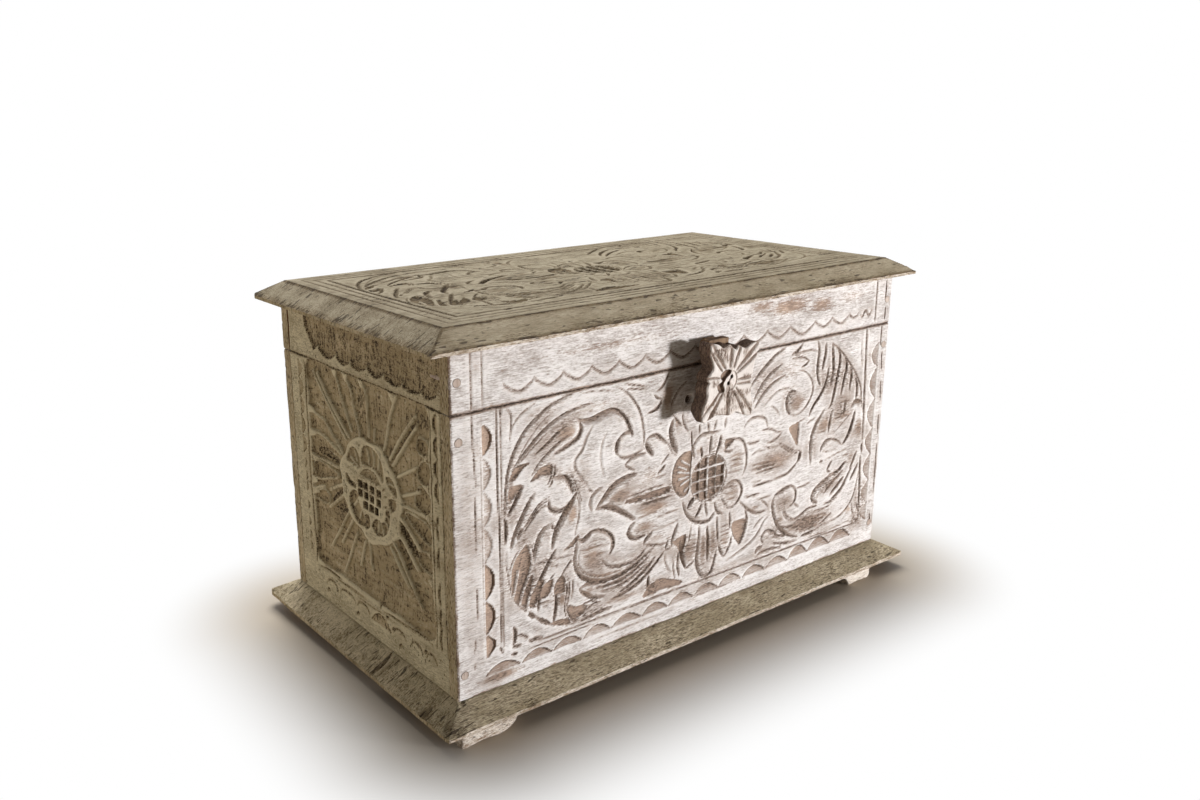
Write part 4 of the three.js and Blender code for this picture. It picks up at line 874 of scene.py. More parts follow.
def front_zones(c):
    """Where the front's wash is thin and brown, and where it is thick and white."""
    for zone in ((0.4, 78, 156, 24, 11, 0.5), (0.35, 126, 101, 17, 8, 0.3), (0.5, 156, 94, 20, 9),
                 (0.35, 147, 73, 12, 6), (0.5, 55, 60, 13, 17), (0.5, 78, 49, 8, 13),
                 (0.35, 107, 60, 18, 13), (0.45, 125, 44, 24, 8, 0.2), (0.6, 98, 28, 24, 4),
                 (0.5, 160, 30, 16, 6), (0.35, 187, 49, 8, 13), (0.35, 293, 137, 10, 7),
                 (0.3, 268, 160, 15, 9, 0.4), (0.35, 273, 93, 24, 13), (0.45, 350, 119, 16, 16),
                 (0.35, 333, 145, 12, 18), (0.5, 320, 36, 32, 9), (0.45, 338, 62, 22, 9, 0.3),
                 (0.35, 288, 58, 15, 11), (0.6, 377, 23, 10, 8), (0.5, 28, 7, 13, 4), (0.35, 50, 92, 9, 16),
                 (0.35, 40, 120, 6, 20), (0.3, 215, 48, 12, 16), (0.14, 10, 100, 11, 110),
                 (0.3, 170, 160, 6, 12), (0.3, 95, 120, 6, 14), (0.3, 232, 84, 9, 8)):
        c.tint(*zone)
    for zone in ((0.9, 115, 131, 12, 13), (0.8, 68, 104, 12, 6, 0.3), (0.8, 60, 91, 8, 5),
                 (0.9, 124, 85, 17, 5, -0.6), (1, 160, 54, 8, 4), (0.9, 182, 68, 5, 10),
                 (0.8, 216, 29, 15, 7), (0.9, 235, 62, 6, 7), (0.7, 252, 50, 8, 5),
                 (0.9, 301, 79, 15, 5, 0.4), (0.9, 343, 105, 13, 5, 0.4), (1, 362, 157, 7, 14, -1),
                 (1, 358, 41, 15, 7, 1.1), (0.8, 62, 29, 13, 8, -0.6), (0.6, 44, 165, 7, 9),
                 (0.8, 246, 97, 5, 9), (0.7, 104, 150, 9, 5), (0.6, 143, 62, 12, 4), (0.7, 205, 62, 16, 4),
                 (0.6, 145, 125, 6, 8), (0.6, 275, 45, 20, 3, 0.5), (0.5, 352, 24, 20, 4)):
        c.whiten(*zone)


def cartouche(c):
    """Everything that the carver cut inside the field."""
    for carve in (outline_left, outline_right, top_left_scroll, left_feathers, left_blades, low_left_scroll,
                  left_big_leaf, upper_lobes, right_leaf, top_right_scroll, right_feathers,
                  low_right_scroll, flower):
        carve(c)


# Geometry
LINE_STEP = 0.45  # how far apart grid lines are beside a hole, in millimetres, and how far to each side
LINE_REACH = 3.6
LINE_LEAST = 0.12  # closer lines than this become one


def dense_steps(first, last, step, fine=()):
    """Grid lines from first to last a step apart, with closer ones round each place in fine."""
    lines = list(np.linspace(first, last, int(round((last - first) / step)) + 1))
    for place in fine:
        low, high = max(place - LINE_REACH, first), min(place + LINE_REACH, last)
        lines = [line for line in lines if not low + 0.01 < line < high - 0.01]
        lines += list(np.linspace(low, high, int(round((high - low) / LINE_STEP)) + 1))
    lines = np.unique(np.round(lines, 4))
    return lines[np.concatenate([[True], np.diff(lines) > LINE_LEAST])]


def blur(field, reach):
    """The mean of each point's neighbours within reach steps both ways."""
    for axis in (0, 1):
        wide = [(reach, reach) if a == axis else (0, 0) for a in (0, 1)]
        total = np.cumsum(np.pad(field, wide, mode="edge"), axis=axis)
        total = np.insert(total, 0, 0, axis=axis)
        span = 2 * reach + 1
        taken = [slice(span, None) if a == axis else slice(None) for a in (0, 1)]
        given = [slice(None, -span) if a == axis else slice(None) for a in (0, 1)]
        field = (total[tuple(taken)] - total[tuple(given)]) / span
    return field


def worn_edges(c, width, height, radius, seed):
    """Rounds the face off towards its edges as a quarter circle, whose radius wanders along the edge."""
    sides = ((c.u, c.v), (width - c.u, c.v), (c.v, c.u), (height - c.v, c.u))
    for number, (gap, along) in enumerate(sides):
        wander = 0.5 + 0.5 * lattice_noise(along, gap * 0, 9, 1, seed + number)
        chips = unit(lattice_noise(along, gap * 0, 3.1, 1, seed + number + 20) - 0.45)
        local = radius * (0.45 + 0.8 * wander + 1.8 * chips)
        short = np.clip(local - gap, 0, None)
        c.form += local - np.sqrt(np.maximum(local ** 2 - short ** 2, 0))
        c.rub(unit(1.2 - gap / (1.3 * local + 0.2)) * (0.35 + 0.6 * wander))


SHARP_EDGE = math.radians(50)


def build_mesh(name, points, triangles, zones, materials, attributes):
    """A mesh from whole arrays, with its sharp edges found by angle."""
    mesh = bpy.data.meshes.new(name)
    mesh.vertices.add(len(points))
    mesh.vertices.foreach_set("co", (points * MM).astype(np.float32).ravel())
    mesh.loops.add(triangles.size)
    mesh.loops.foreach_set("vertex_index", triangles.astype(np.int32).ravel())
    mesh.polygons.add(len(triangles))
    mesh.polygons.foreach_set("loop_start", np.arange(0, triangles.size, 3, dtype=np.int32))
    mesh.polygons.foreach_set("material_index", zones.astype(np.int32))
    for material in materials:
        mesh.materials.append(material)
    mesh.update(calc_edges=True)
    mesh.validate()
    mesh.polygons.foreach_set("use_smooth", np.ones(len(triangles), bool))
    mesh.set_sharp_from_angle(angle=SHARP_EDGE)
    for key, values in attributes.items():
        layer = mesh.attributes.new(key, "FLOAT", "POINT")
        layer.data.foreach_set("value", values.astype(np.float32))
    return mesh


def add_piece(name, mesh, body, node):
    piece = bpy.data.objects.new(name, mesh)
    bpy.context.scene.collection.objects.link(piece)
    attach(piece, body)
    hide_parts(node)


class Face:
    """A board's outer face: the corner that u and v start from, and the directions of u, v and inwards."""

    def __init__(self, corner, u_way, v_way):
        self.corner = np.array(corner, float)
        self.ways = np.array([u_way, v_way, -np.cross(u_way, v_way)], float)

    def points(self, u, v, depth):
        return self.corner + np.stack([u, v, depth], 1) @ self.ways


def round_corner(u, v, corner_u, corner_v, radius):
    """Moves the points in the square at a board's corner so that it becomes a quarter of a disc: each offset
    from the square's inner corner is scaled by its larger part over its length."""
    way_u = 1 if corner_u > u.mean() else -1
    way_v = 1 if corner_v > v.mean() else -1
    du = (u - (corner_u - way_u * radius)) * way_u
    dv = (v - (corner_v - way_v * radius)) * way_v
    at = (du > 0) & (dv > 0)
    share = np.maximum(du, dv)[at] / np.hypot(du, dv)[at]
    u[at] += (du[at] * (share - 1)) * way_u
    v[at] += (dv[at] * (share - 1)) * way_v


RIM_CATCH = 0.26  # grid points this near a hole's rim are moved onto it, in millimetres
RIM_SLACK = 0.02
ROLL_NEAR = 0.35  # share of the depth round a point that it sinks too, so that the wood rolls into its cuts
ROLL_FAR = 0.6
NEAR_STEPS, STAIN_STEPS, FAR_STEPS = 3, 6, 7  # how many grid steps round a point its surroundings reach
TINT = 0.95  # stain that hangs in the wood between close cuts, as a share of the stain round each point
WAVE = 0.12  # how far a board's face lies in on the average, because it isn't quite flat
WALL_STEPS = (0.12, 1.0)  # where points stand on the walls, as shares of the way to the back
WALL_BARE = 0.25
FACE, END_GRAIN, LONG_EDGE, BACK = range(4)


def grid_points(us, vs, ragged, seed, holes, rounds):
    """The points of a grid, row after row. Its outline wanders inwards by ragged, points near a hole's rim
    are moved onto it, and the corners that rounds names are rounded off."""
    u, v = (field.ravel().copy() for field in np.meshgrid(us, vs))
    wander = ragged * (0.5 + 0.3 * lattice_noise(u + v, u - v, 11, 11, seed + 70)
                       + 0.2 * lattice_noise(u + v, u - v, 3, 3, seed + 71))
    for values, lines in ((u, us), (v, vs)):
        values[values == lines[0]] += wander[values == lines[0]]
        values[values == lines[-1]] -= wander[values == lines[-1]]
    for hole_u, hole_v, radius in holes:
        du, dv = u - hole_u, v - hole_v
        apart = np.hypot(du, dv) + TINY
        rim = np.abs(apart - radius) < RIM_CATCH
        u[rim] += (du * (radius / apart - 1))[rim]
        v[rim] += (dv * (radius / apart - 1))[rim]
    for corner in rounds:
        round_corner(u, v, *corner)
    return u, v


def grid_triangles(rows, columns):
    """Two triangles for each cell of a grid."""
    corner = (np.arange(rows - 1)[:, None] * columns + np.arange(columns - 1)).ravel()
    right, above = corner + 1, corner + columns
    first = np.stack([corner, right, above + 1], 1)
    second = np.stack([corner, above + 1, above], 1)
    return np.stack([first, second], 1).reshape(-1, 3)


def open_edges(triangles, count):
    """The edges that belong to only one triangle, which runs along them. count is that of the points."""
    edges = np.concatenate([triangles[:, [0, 1]], triangles[:, [1, 2]], triangles[:, [2, 0]]])
    keys = edges[:, 0].astype(np.int64) * count + edges[:, 1]
    back_keys = edges[:, 1].astype(np.int64) * count + edges[:, 0]
    return edges[~np.isin(keys, back_keys)]


def fill_outline(u, v, edges, holes):
    """Triangles between an outline's points, by a Delaunay triangulation that leaves the holes open."""
    flat = [Vector((float(x), float(y))) for x, y in zip(u, v)]
    fill = delaunay_2d_cdt(flat, [tuple(int(i) for i in pair) for pair in edges], [], 1, 1e-5)
    triangles = np.array([ids for ids in fill[2] if len(ids) == 3])
    origin = np.array([ids[0] for ids in fill[3]])
    places = np.array([[p.x, p.y] for p in fill[0]])[triangles]
    in_hole = np.zeros(len(triangles), bool)
    for hole_u, hole_v, radius in holes:
        in_hole |= (np.hypot(places[..., 0] - hole_u, places[..., 1] - hole_v) < radius + RIM_SLACK).all(1)
    return origin[triangles[~in_hole]]


def carved_board(name, face, us, vs, carve, thickness, materials, seed, holes=(), ragged=0.0, indoors=None,
                 rounds=()):
    """A closed board whose outer face is a grid pushed in by its carving, with the holes left out. Walls drop
    from the open edges to the back face. indoors is the range of u and v where the face is finished as the
    back is, and ragged how far the outline wanders inwards."""
    u, v = grid_points(us, vs, ragged, seed, holes, rounds)
    c = Carving(u, v)
    carve(c)
    c.form += WAVE * (1 + c.noise(37, 23, seed + 50))
    shape = (len(vs), len(us))
    field = c.depth.reshape(shape)
    near = blur(field, NEAR_STEPS)
    # hollow is above nothing where a point lies deeper than its surroundings, and below nothing on the ridges
    # beside the cuts, which the washes paint lighter as a highlight.
    hollow = np.clip((field - near) / 0.7, -1, 1).ravel()
    low = unit((0.45 * field + 0.55 * near) / 2.2).ravel()
    into = c.depth + c.form + (ROLL_NEAR * near + ROLL_FAR * blur(near, FAR_STEPS)).ravel()
    broad = np.clip(0.75 + 0.9 * c.noise(21, 12, 53), 0, 1.3)
    around = TINT * broad * blur(c.stain.reshape(shape), STAIN_STEPS).ravel()
    # The painted shade along the seam joins the stain here.
    stain = np.maximum(np.maximum(c.stain, c.seam_shade), around)

    front = grid_triangles(*shape)
    middle_u, middle_v = u[front].mean(1), v[front].mean(1)
    keep = np.ones(len(front), bool)
    for hole_u, hole_v, radius in holes:
        keep &= np.hypot(middle_u - hole_u, middle_v - hole_v) > radius - RIM_SLACK
    front, middle_u, middle_v = front[keep], middle_u[keep], middle_v[keep]
    edges = open_edges(front, len(u))
    rim = np.unique(edges)
    rank = np.full(len(u), -1)
    rank[rim] = np.arange(len(rim))
    points = [face.points(u, v, into)]
    rows = [rim]
    for share in WALL_STEPS:
        rows.append(np.arange(len(rim)) + sum(map(len, points)))
        points.append(face.points(u[rim], v[rim], into[rim] + (thickness - into[rim]) * share))
    points = np.concatenate(points)
    a, b = rank[edges].T
    walls = np.concatenate([
        np.stack(corners, 1) for upper, lower in zip(rows[:-1], rows[1:])
        for corners in ((upper[b], upper[a], lower[a]), (upper[b], lower[a], lower[b]))
    ])
    back = rows[-1][fill_outline(u[rim], v[rim], rank[edges], holes)][:, ::-1]

    across = np.cross(points[walls[:, 1]] - points[walls[:, 0]], points[walls[:, 2]] - points[walls[:, 0]])
    sideways = np.abs(across @ face.ways[0]) > np.abs(across @ face.ways[1])
    faces = np.full(len(front), FACE)
    if indoors:
        (u0, u1), (v0, v1) = indoors
        faces[(middle_u > u0) & (middle_u < u1) & (middle_v > v0) & (middle_v < v1)] = BACK
    zones = np.concatenate([faces, np.where(sideways, END_GRAIN, LONG_EDGE), np.full(len(back), BACK)])
    behind = np.zeros(len(points) - len(u))
    attributes = {
        "low": np.concatenate([low, behind]), "stain": np.concatenate([stain, behind]),
        "bare": np.concatenate([c.bare, behind + WALL_BARE]), "hollow": np.concatenate([hollow, behind]),
    }
    return build_mesh(name, points, np.concatenate([front, walls, back]), zones, materials, attributes)


# Finishes
STREAK_WIDTH = 0.85  # millimetres across the grain
FINE_WIDTH = 0.42
BLOTCHES = (30, 14)  # millimetres along and across the grain
GRIT = (2.2, 1.1)
PORE_GROUPS = (24, 15)
WASH_RELIEF = 0.5  # how far a wash's bump reaches, in millimetres


def washed(name, grain, hatch, paint, wood, stain, cover=0.75, pits=0.0, tooth=0.25, lines=1.0, run=9.0,
           pit_size=(3.2, 0.8, 0.8), grip=1.0, mark_size=(4.5, 0.7)):
    """Whitewash rubbed over carved wood. Paint is lighter where fine streaks along the grain are high, and
    rubbed off the wood where the piece says bare. On the ridges beside the cuts, where hollow is below
    nothing, the paint is fuller and lighter as a painted highlight. Stain darkens it in three steps up the
    sides of the cuts: a light brown, a deeper one, and its own colour in their bottoms. Tool marks along
    hatch hold it where the wood lies low, by a share called grip. paint and wood are each a pair of colours.
    run is how long the streaks are, mark_size how long and wide the marks, and pit_size how long, wide and
    high the pores."""
    f = Finish(name, {"Roughness": 0.85, "Specular IOR Level": 0.25})
    streak = f.noise(grain, run, STREAK_WIDTH, detail=3, roughness=0.65)
    fine = f.noise(grain, run * 0.4, FINE_WIDTH, roughness=0.6)
    blotch = f.noise(grain, *BLOTCHES, detail=3, roughness=0.6)
    rough = f.noise(grain, *GRIT, roughness=0.6)
    marks = f.noise(hatch, *mark_size, roughness=0.6)
    low, dark, bare, hollow = (f.attribute(key) for key in ("low", "stain", "bare", "hollow"))
    # edge: the ridges beside the cuts, where the paint is made fuller and lighter as a painted highlight, and
    # shows no pores.
    edge = f.math("MAXIMUM", hollow * -1, 0.0)
    sunk = f.math("MAXIMUM", hollow, 0.0)
    thick = f.math("MAXIMUM", bare * -1, 0.0)

    level = cover + streak * 1.3 + fine + rough * 0.8 + blotch * 0.6 - bare * 1.05 - low * 0.45 + edge * 0.8
    covered = f.step(level, 0.0, 0.7)
    lined = (streak * 0.8 + fine * 0.9 + rough * 0.5) * lines
    tint = lined + blotch * 0.8 + edge * 0.8 - low * 0.35 + thick * 0.5
    paint_colour = f.mix(f.step(tint, -0.28, 0.3), *paint)
    wood_colour = f.mix(f.step(blotch * 1.2 + streak + fine * 1.2, -0.3, 0.3), *wood)
    colour = f.mix(covered, wood_colour, paint_colour)

    held = f.math("MAXIMUM", low * (0.1 + marks * 1.9 + fine * 0.6) * grip, 0.0)
    inked = dark * (1 + rough * 4 + fine * 6 + marks * 3 + streak * 3) + sunk * 0.1 + held
    colour = f.mix(f.step(inked, 0.02, 0.32) * 0.6, colour, f.mix(0.3, *wood))
    colour = f.mix(f.step(inked, 0.16, 0.62) * 0.8, colour, f.mix(0.4, wood[0], stain))
    colour = f.mix(f.step(inked, 0.45, 1.0), colour, stain)

    height = streak * 0.6 + fine * 0.7 + rough * tooth * (1 + bare * 2) + covered * 0.2 - held * 0.8
    if pits:
        dashes = f.noise(grain, *pit_size, detail=1)
        worn = f.math("MAXIMUM", bare, 0.0)
        pores = dashes + f.noise(grain, *PORE_GROUPS) * 0.3 + worn * 0.2
        holes = f.step(pores, 0.26 - pits * 0.12, 0.3 - pits * 0.12)
        colour = f.mix(holes * (1 - edge) * 0.75, colour, stain)
        height = height - holes * 0.9
    f.feed("Base Color", colour)
    f.bump(height, WASH_RELIEF)
    return f.material


def raw_wood(name, grain, light, dark):
    """Planed wood without wash: growth bands stretched along the grain, with fine open pores."""
    f = Finish(name, {"Roughness": 0.75, "Specular IOR Level": 0.3})
    band = f.noise(grain, 90, 7, detail=3, roughness=0.6)
    fine = f.noise(grain, 12, 0.5, roughness=0.6)
    pores = f.step(f.noise(grain, 6, 0.4, detail=1), 0.16, 0.24)
    colour = f.mix(f.step(band * 1.6 + fine, -0.3, 0.3), light, dark)
    f.feed("Base Color", f.mix(pores * 0.6, colour, PORE_BROWN))
    f.bump(fine - pores * 0.5, 0.4)
    return f.material


def aged_metal(name, bright, dull, metallic, roughness):
    """Metal with broad tarnish and fine scratches."""
    f = Finish(name, {"Metallic": metallic})
    tarnish = f.step(f.noise("X", 3.5, 3.5, detail=4, roughness=0.65), -0.14, 0.18)
    scratch = f.noise("X", 6, 0.25)
    f.feed("Base Color", f.mix(tarnish, bright, dull))
    f.feed("Roughness", roughness + tarnish * 0.25 + scratch * 0.2)
    f.bump(tarnish * 0.4 + scratch * 0.3, 0.15)
    return f.material


WHITE = (1, 1, 1, 1)
WHITE_PAINT = (srgb(184, 176, 172), srgb(240, 237, 236))
BROWN_WOOD = (srgb(148, 128, 115), srgb(202, 177, 158))
DARK_STAIN = srgb(92, 79, 70)
GREY_PAINT = (srgb(142, 131, 109), srgb(186, 175, 153))
GREY_WOOD = (srgb(112, 97, 73), srgb(150, 132, 104))
UMBER = srgb(60, 48, 37)
BASE_PAINT = (srgb(178, 165, 136), srgb(224, 211, 184))
END_PAINT = (srgb(172, 161, 134), srgb(222, 212, 184))
END_WOOD = (srgb(166, 148, 116), srgb(208, 190, 158))
END_STAIN = srgb(66, 53, 36)
EDGE_PAINT = (srgb(196, 184, 168), srgb(226, 216, 204))
EDGE_WOOD = (srgb(128, 106, 80), srgb(160, 136, 108))
FOOT_PAINT = (srgb(196, 183, 168), srgb(236, 228, 218))
FOOT_WOOD = (srgb(124, 100, 78), srgb(162, 136, 110))
LATCH_PAINT = (srgb(178, 167, 159), srgb(232, 225, 220))
LATCH_WOOD = (srgb(140, 118, 103), srgb(184, 160, 143))
LATCH_STAIN = srgb(98, 83, 74)
RAW_WOOD = (srgb(146, 108, 76), srgb(112, 78, 52))
PORE_BROWN = srgb(62, 44, 30)
SLOPE_PORES = (9, 1.8, 7)
END_PORES = (1.8, 0.8, 2.8)

front_wash = washed("front_wash", "X", "X", WHITE_PAINT, BROWN_WOOD, DARK_STAIN, mark_size=(5.4, 0.9))
end_wash = washed("end_wash", "Y", "Z", END_PAINT, END_WOOD, END_STAIN, pits=0.6, tooth=0.5, lines=1.5,
                  run=6, pit_size=END_PORES, grip=0.65, mark_size=(9, 1.5))
top_wash = washed("top_wash", "X", "X", GREY_PAINT, GREY_WOOD, UMBER, cover=0.74, pits=0.75, tooth=0.4,
                  lines=0.9, run=14, pit_size=SLOPE_PORES, grip=0.6)
base_wash = washed("base_wash", "X", "X", BASE_PAINT, GREY_WOOD, UMBER, cover=0.78, pits=0.62, tooth=0.5,
                   lines=0.9, run=11, pit_size=SLOPE_PORES)
edge_wash = washed("edge_wash", "X", "X", EDGE_PAINT, EDGE_WOOD, UMBER, cover=0.65, pits=0.2)
end_grain = washed("end_grain", "Z", "Z", END_PAINT, END_WOOD, UMBER, cover=0.4, pits=0.9, tooth=0.9)
foot_wash = washed("foot_wash", "X", "X", FOOT_PAINT, FOOT_WOOD, UMBER, cover=0.8, pits=0.2, tooth=0.5)
latch_wash = washed("latch_wash", "Z", "Z", LATCH_PAINT, LATCH_WOOD, LATCH_STAIN, tooth=0.4)
inside_wood = raw_wood("inside_wood", "X", *RAW_WOOD)
inside_end_wood = raw_wood("inside_end_wood", "Y", *RAW_WOOD)
latch_wood = raw_wood("latch_wood", "Z", srgb(150, 124, 98), srgb(112, 88, 66))
peg_end = raw_wood("peg_end", "Z", srgb(206, 192, 182), srgb(168, 148, 136))
dark_iron = aged_metal("dark_iron", srgb(72, 66, 60), srgb(42, 36, 32), 0.7, 0.5)
hinge_brass = aged_metal("hinge_brass", srgb(164, 136, 86), srgb(112, 91, 60), 1.0, 0.38)


# The end boards. Their sunk field holds a flower inside a plain ring, with rays that reach the frame
END_FLOWER = (117, 104.5)
GOUGE_TURN = 76  # above this the ground's gouge marks stand upright, and below it they lie level


def end_border(c):
    c.scallops([176, 163, 149, 135, 121, 107], 21.6, 27.4, 0.8, 0.4, upright=True, deep=1.4)
    for v in (100, 90, 82, 68, 55, 45, 36):
        c.cut(2.4, 0.8, (23.4, v + 3.4), (25.6, v), (23, v - 3.6))
    c.scallops([178, 164, 150, 136.6, 122], 202.4, 197.4, 0.8, 0.4, upright=True, deep=1.4)
    for v in (107, 87, 64, 47, 34):
        c.cut(2.6, 0.85, (200.8, v + 8), (198.4, v), (200.6, v - 8))
    for first, last in ((45.6, 64), (66, 90), (91, 110), (140, 157.6), (162, 178), (181, 195)):
        middle = (first + last) / 2
        c.cut(1.8, 0.8, (first, 13.6), (first + 3.4, 17.4), (middle, 18.8), (last - 3.4, 17.2), (last, 13.6),
              lean=0.4, deep=0.8)
    c.scallops([111, 138], 12.6, 20, 0.6, 0.95)
    c.cut(1.6, 0.8, (31.4, 176), (31, 140), (30.6, 100), (31, 60), (31, 26), ends=0.1)
    c.cut(1.3, 0.6, (190.8, 177), (190.4, 140), (190.6, 90), (190.4, 28), ends=0.1, deep=0.6)
    c.cut(1.7, 0.75, (194.6, 178), (194.2, 140), (194.4, 100), (194, 60), (194.4, 26), ends=0.1)
    c.cut(1.6, 0.6, (207, 178), (206.6, 130), (207, 80), (206.8, 24), ends=0.1, deep=0.6)
    c.cut(1.7, 0.8, (36, 24), (52, 25), (70, 24.8))
    c.cut(1.7, 0.75, (62, 23), (84, 23.6), (106, 23.6))
    c.cut(1.7, 0.7, (128, 24.2), (150, 25.4), (190, 25.8))
    c.cut(1.4, 0.6, (92, 21), (120, 21.6), (150, 21.8), deep=0.5)
    for u, v in ((124, 28), (133, 21), (141, 16), (152, 17), (181, 17), (48, 9), (92, 8), (150, 8)):
        c.cut(2.4, 0.8, (u - 2.4, v - 1), (u, v + 1.4), (u + 2.8, v + 0.6))


def end_ground(c):
    """The sunk ground, with gouge marks left in it, upright above and level below, and darker corners."""
    c.dish(0.12, 0.3, (34, 29), (34, 60), (34, 103), (34, 145), (35, 177), (70, 178), (112, 178.4),
           (150, 178.4), (190, 178), (190.6, 140), (190.4, 103), (190.4, 60), (190, 29), (150, 28),
           (112, 27.6), (70, 28), deep=2.1, slope=2.6, level=0.5)
    at = np.flatnonzero(c.depth > 1)
    marks = c.noise(8.5, 2.3, 31, at) + 0.5 * c.noise(3.2, 1.2, 32, at)
    lines = np.where(c.v[at] > GOUGE_TURN, c.noise(1.5, 11, 33, at), c.noise(24, 1.4, 34, at))
    c.depth[at] += 0.3 * marks + 0.16 * lines
    c.stain[at] = unit(c.stain[at] + (0.42 * unit(marks - 0.2) + 0.3 * unit(lines)))
    for cu, cv in ((42, 168), (181, 168), (45, 92), (180, 82)):
        c.patch(0.6, cu, cv, 16, 9, 0.35)
    c.patch(1, 156, 74, 10, 8)
    c.patch(0.9, 106, 162, 8, 14)
    c.patch(0.8, 40, 132, 9, 8)
    c.cuts(3, 0.85, [(55, 66), (80, 64), (106, 61)], [(60, 60), (72, 58.6), (86, 59)], [(66, 73), (76, 72)],
           [(118, 70), (120.6, 64), (121, 57)], [(115.4, 58), (118, 53), (119, 48)], [(129, 57), (131, 52)],
           [(126.6, 70), (129.4, 66), (131, 62)], [(141, 52), (145, 50), (148.6, 46.4)],
           [(161, 52.4), (166, 51.4)], [(168, 47), (172, 44.6), (174.6, 41.4)],
           [(97, 44), (99, 40), (97, 36)], [(114, 38), (119, 41)], [(150, 37), (158, 38)],
           [(44, 58), (52, 56)], [(60, 38), (70, 39.6)])
    c.cut(1.3, 0.8, (103, 149.6), (124, 149), (143, 147.6), deep=0.5, lean=0)
    c.cut(3, 1, (124, 24), (124.4, 30), (124, 37))
    c.cut(2.4, 0.9, (83, 30), (82.6, 36), (83, 42))


def end_hollows(c):
    """Deep wedges between the rays, dark on the left and to the lower right of the flower."""
    wedges = (
        (1.5, 0.3, [(153, 91.4), (159, 94), (167, 88), (175, 81.6), (169, 76.6), (160, 83)]),
        (0.6, 1, [(148, 79.6), (154, 82), (168, 71.6), (160.6, 64.6), (152, 71)]),
        (1.4, 0.4, [(59, 83), (68, 90.4), (77, 94.6), (79, 92.4), (68, 83), (60, 78)]),
        (1.4, 0.3, [(63, 77), (72, 83), (81, 89), (80.6, 81), (76, 76.6)]),
        (1.5, 0.3, [(40, 113.6), (48, 116.4), (60, 115.4), (70, 114), (74, 110.6), (58, 110.6), (44, 111)]),
    )
    for dark, bare, ring in wedges:
        c.dish(dark, bare, *ring, deep=3.2, slope=2.6)
    c.cut(2.2, 1, (146.4, 133.4), (159.6, 149), (176, 166), deep=2.6, lean=0)
    c.cut(2.2, 1, (87, 134), (65.4, 151.8), (44.8, 170), deep=2.4, lean=0)


def end_rays(c):
    """Thin raised rays from the ring to the frame, where they curl into it."""
    c.lifts(1.1, 0.1, [(93.3, 140), (82, 158), (77, 170), (72, 179)],
            [(105.8, 140), (98.4, 155), (95, 168), (86, 179)],
            [(116.7, 142), (115.8, 160), (114.4, 173), (106, 179.6)], [(124.2, 141), (124.2, 148)],
            [(136.7, 138.5), (141, 150), (145.6, 163), (156, 179)],
            [(152.5, 125), (163, 130.5), (175, 136.7)], [(158.3, 114.2), (168, 118), (177.5, 122)],
            [(160, 107.5), (176, 108), (193, 108.3)], [(83.3, 80), (68, 62), (53.3, 45)],
            [(88.3, 75.8), (79, 64.5), (70, 53.3)], [(92.5, 66.7), (82, 49), (71.7, 31.7)],
            [(104.2, 65), (100, 55), (95.8, 45)], [(111.4, 70), (110.8, 60), (112, 47)],
            [(34.2, 107.5), (52, 108), (70, 108)], [(32, 143), (42, 139.8), (50, 138)],
            [(53.3, 138.3), (66, 129.5), (80, 120.8)], [(32, 126), (50, 125.8), (64, 122.6), (76.7, 119.2)],
            [(32, 82), (41, 86), (48.3, 88.3)], steep=1.9)
    c.lifts(1.5, 0, [(85, 132.5), (63.3, 150.8), (41.3, 170.3)],
            [(89.2, 135), (66.7, 152.5), (47.5, 170.3)], [(144.2, 134.2), (158.3, 151.7), (175.8, 169.2)],
            [(147.4, 131), (160.6, 145.6), (177.5, 163.3)], [(78.3, 98.3), (67, 93.5), (56.7, 88.3)],
            [(81.7, 93.3), (68, 84), (55, 75)], [(144.2, 78.3), (162.5, 58.3), (175, 44)],
            [(140, 73.3), (150, 63), (160, 53.3)], steep=1.9)
    c.lift(2.3, 0, (154, 99), (165.5, 91.5), (175.4, 84))
    c.lift(2.3, 0, (149.6, 89), (161, 79), (172, 69.6))
    for u, v, side in ((75, 178.6, 0), (90, 178.6, 0), (111, 179, 0), (150, 178.6, 0), (191.6, 146, 1),
                       (191.6, 127, 1), (192, 108, 1), (191.6, 85, 1), (191.6, 67, 1), (33, 142, -1),
                       (33, 125, -1), (33, 107, -1), (33, 90, -1), (33, 82, -1)):
        if side:
            c.spare((u + side, v + 3), (u + side, v - 3), (u - side * 7, v))
        else:
            c.spare((u - 3.2, v + 1), (u + 3.2, v + 1), (u, v - 6))


def end_lobes(c):
    """Round-ended hollows, outlined by a ridge, along the field's upright sides."""
    lobes = (
        [(177.5, 153.3), (180, 156.7), (190, 155), (190, 148), (181.7, 146.7), (176.7, 149)],
        [(176, 136), (183.3, 143), (191, 143), (191.8, 135), (186.7, 129), (178, 129.6)],
        [(176.5, 124.4), (185, 126), (191, 123.3), (191.6, 116), (186.7, 110.6), (179, 110.6), (172, 114)],
        [(160.8, 103.3), (171.7, 104.8), (185, 103.3), (191, 100), (191.6, 95), (186.7, 90.8), (178, 93),
         (167, 98)],
        [(174, 82), (185, 84), (190.4, 80), (190.8, 73.3), (183.3, 71.7), (175, 75)],
        [(35, 98), (37.5, 104), (46.7, 105.3), (63.3, 104.2), (70, 102.5), (66, 99.6), (55, 96.7),
         (40, 92.5)],
        [(35, 77), (38.3, 81.7), (48, 85.6), (55, 83), (54, 78), (46, 75.5)],
    )
    for ring in lobes:
        c.lift(1.4, 0.1, *ring, ring[0], steep=1.7)
        c.dish(0.5, 0.5, *ring, deep=2.7, slope=4)


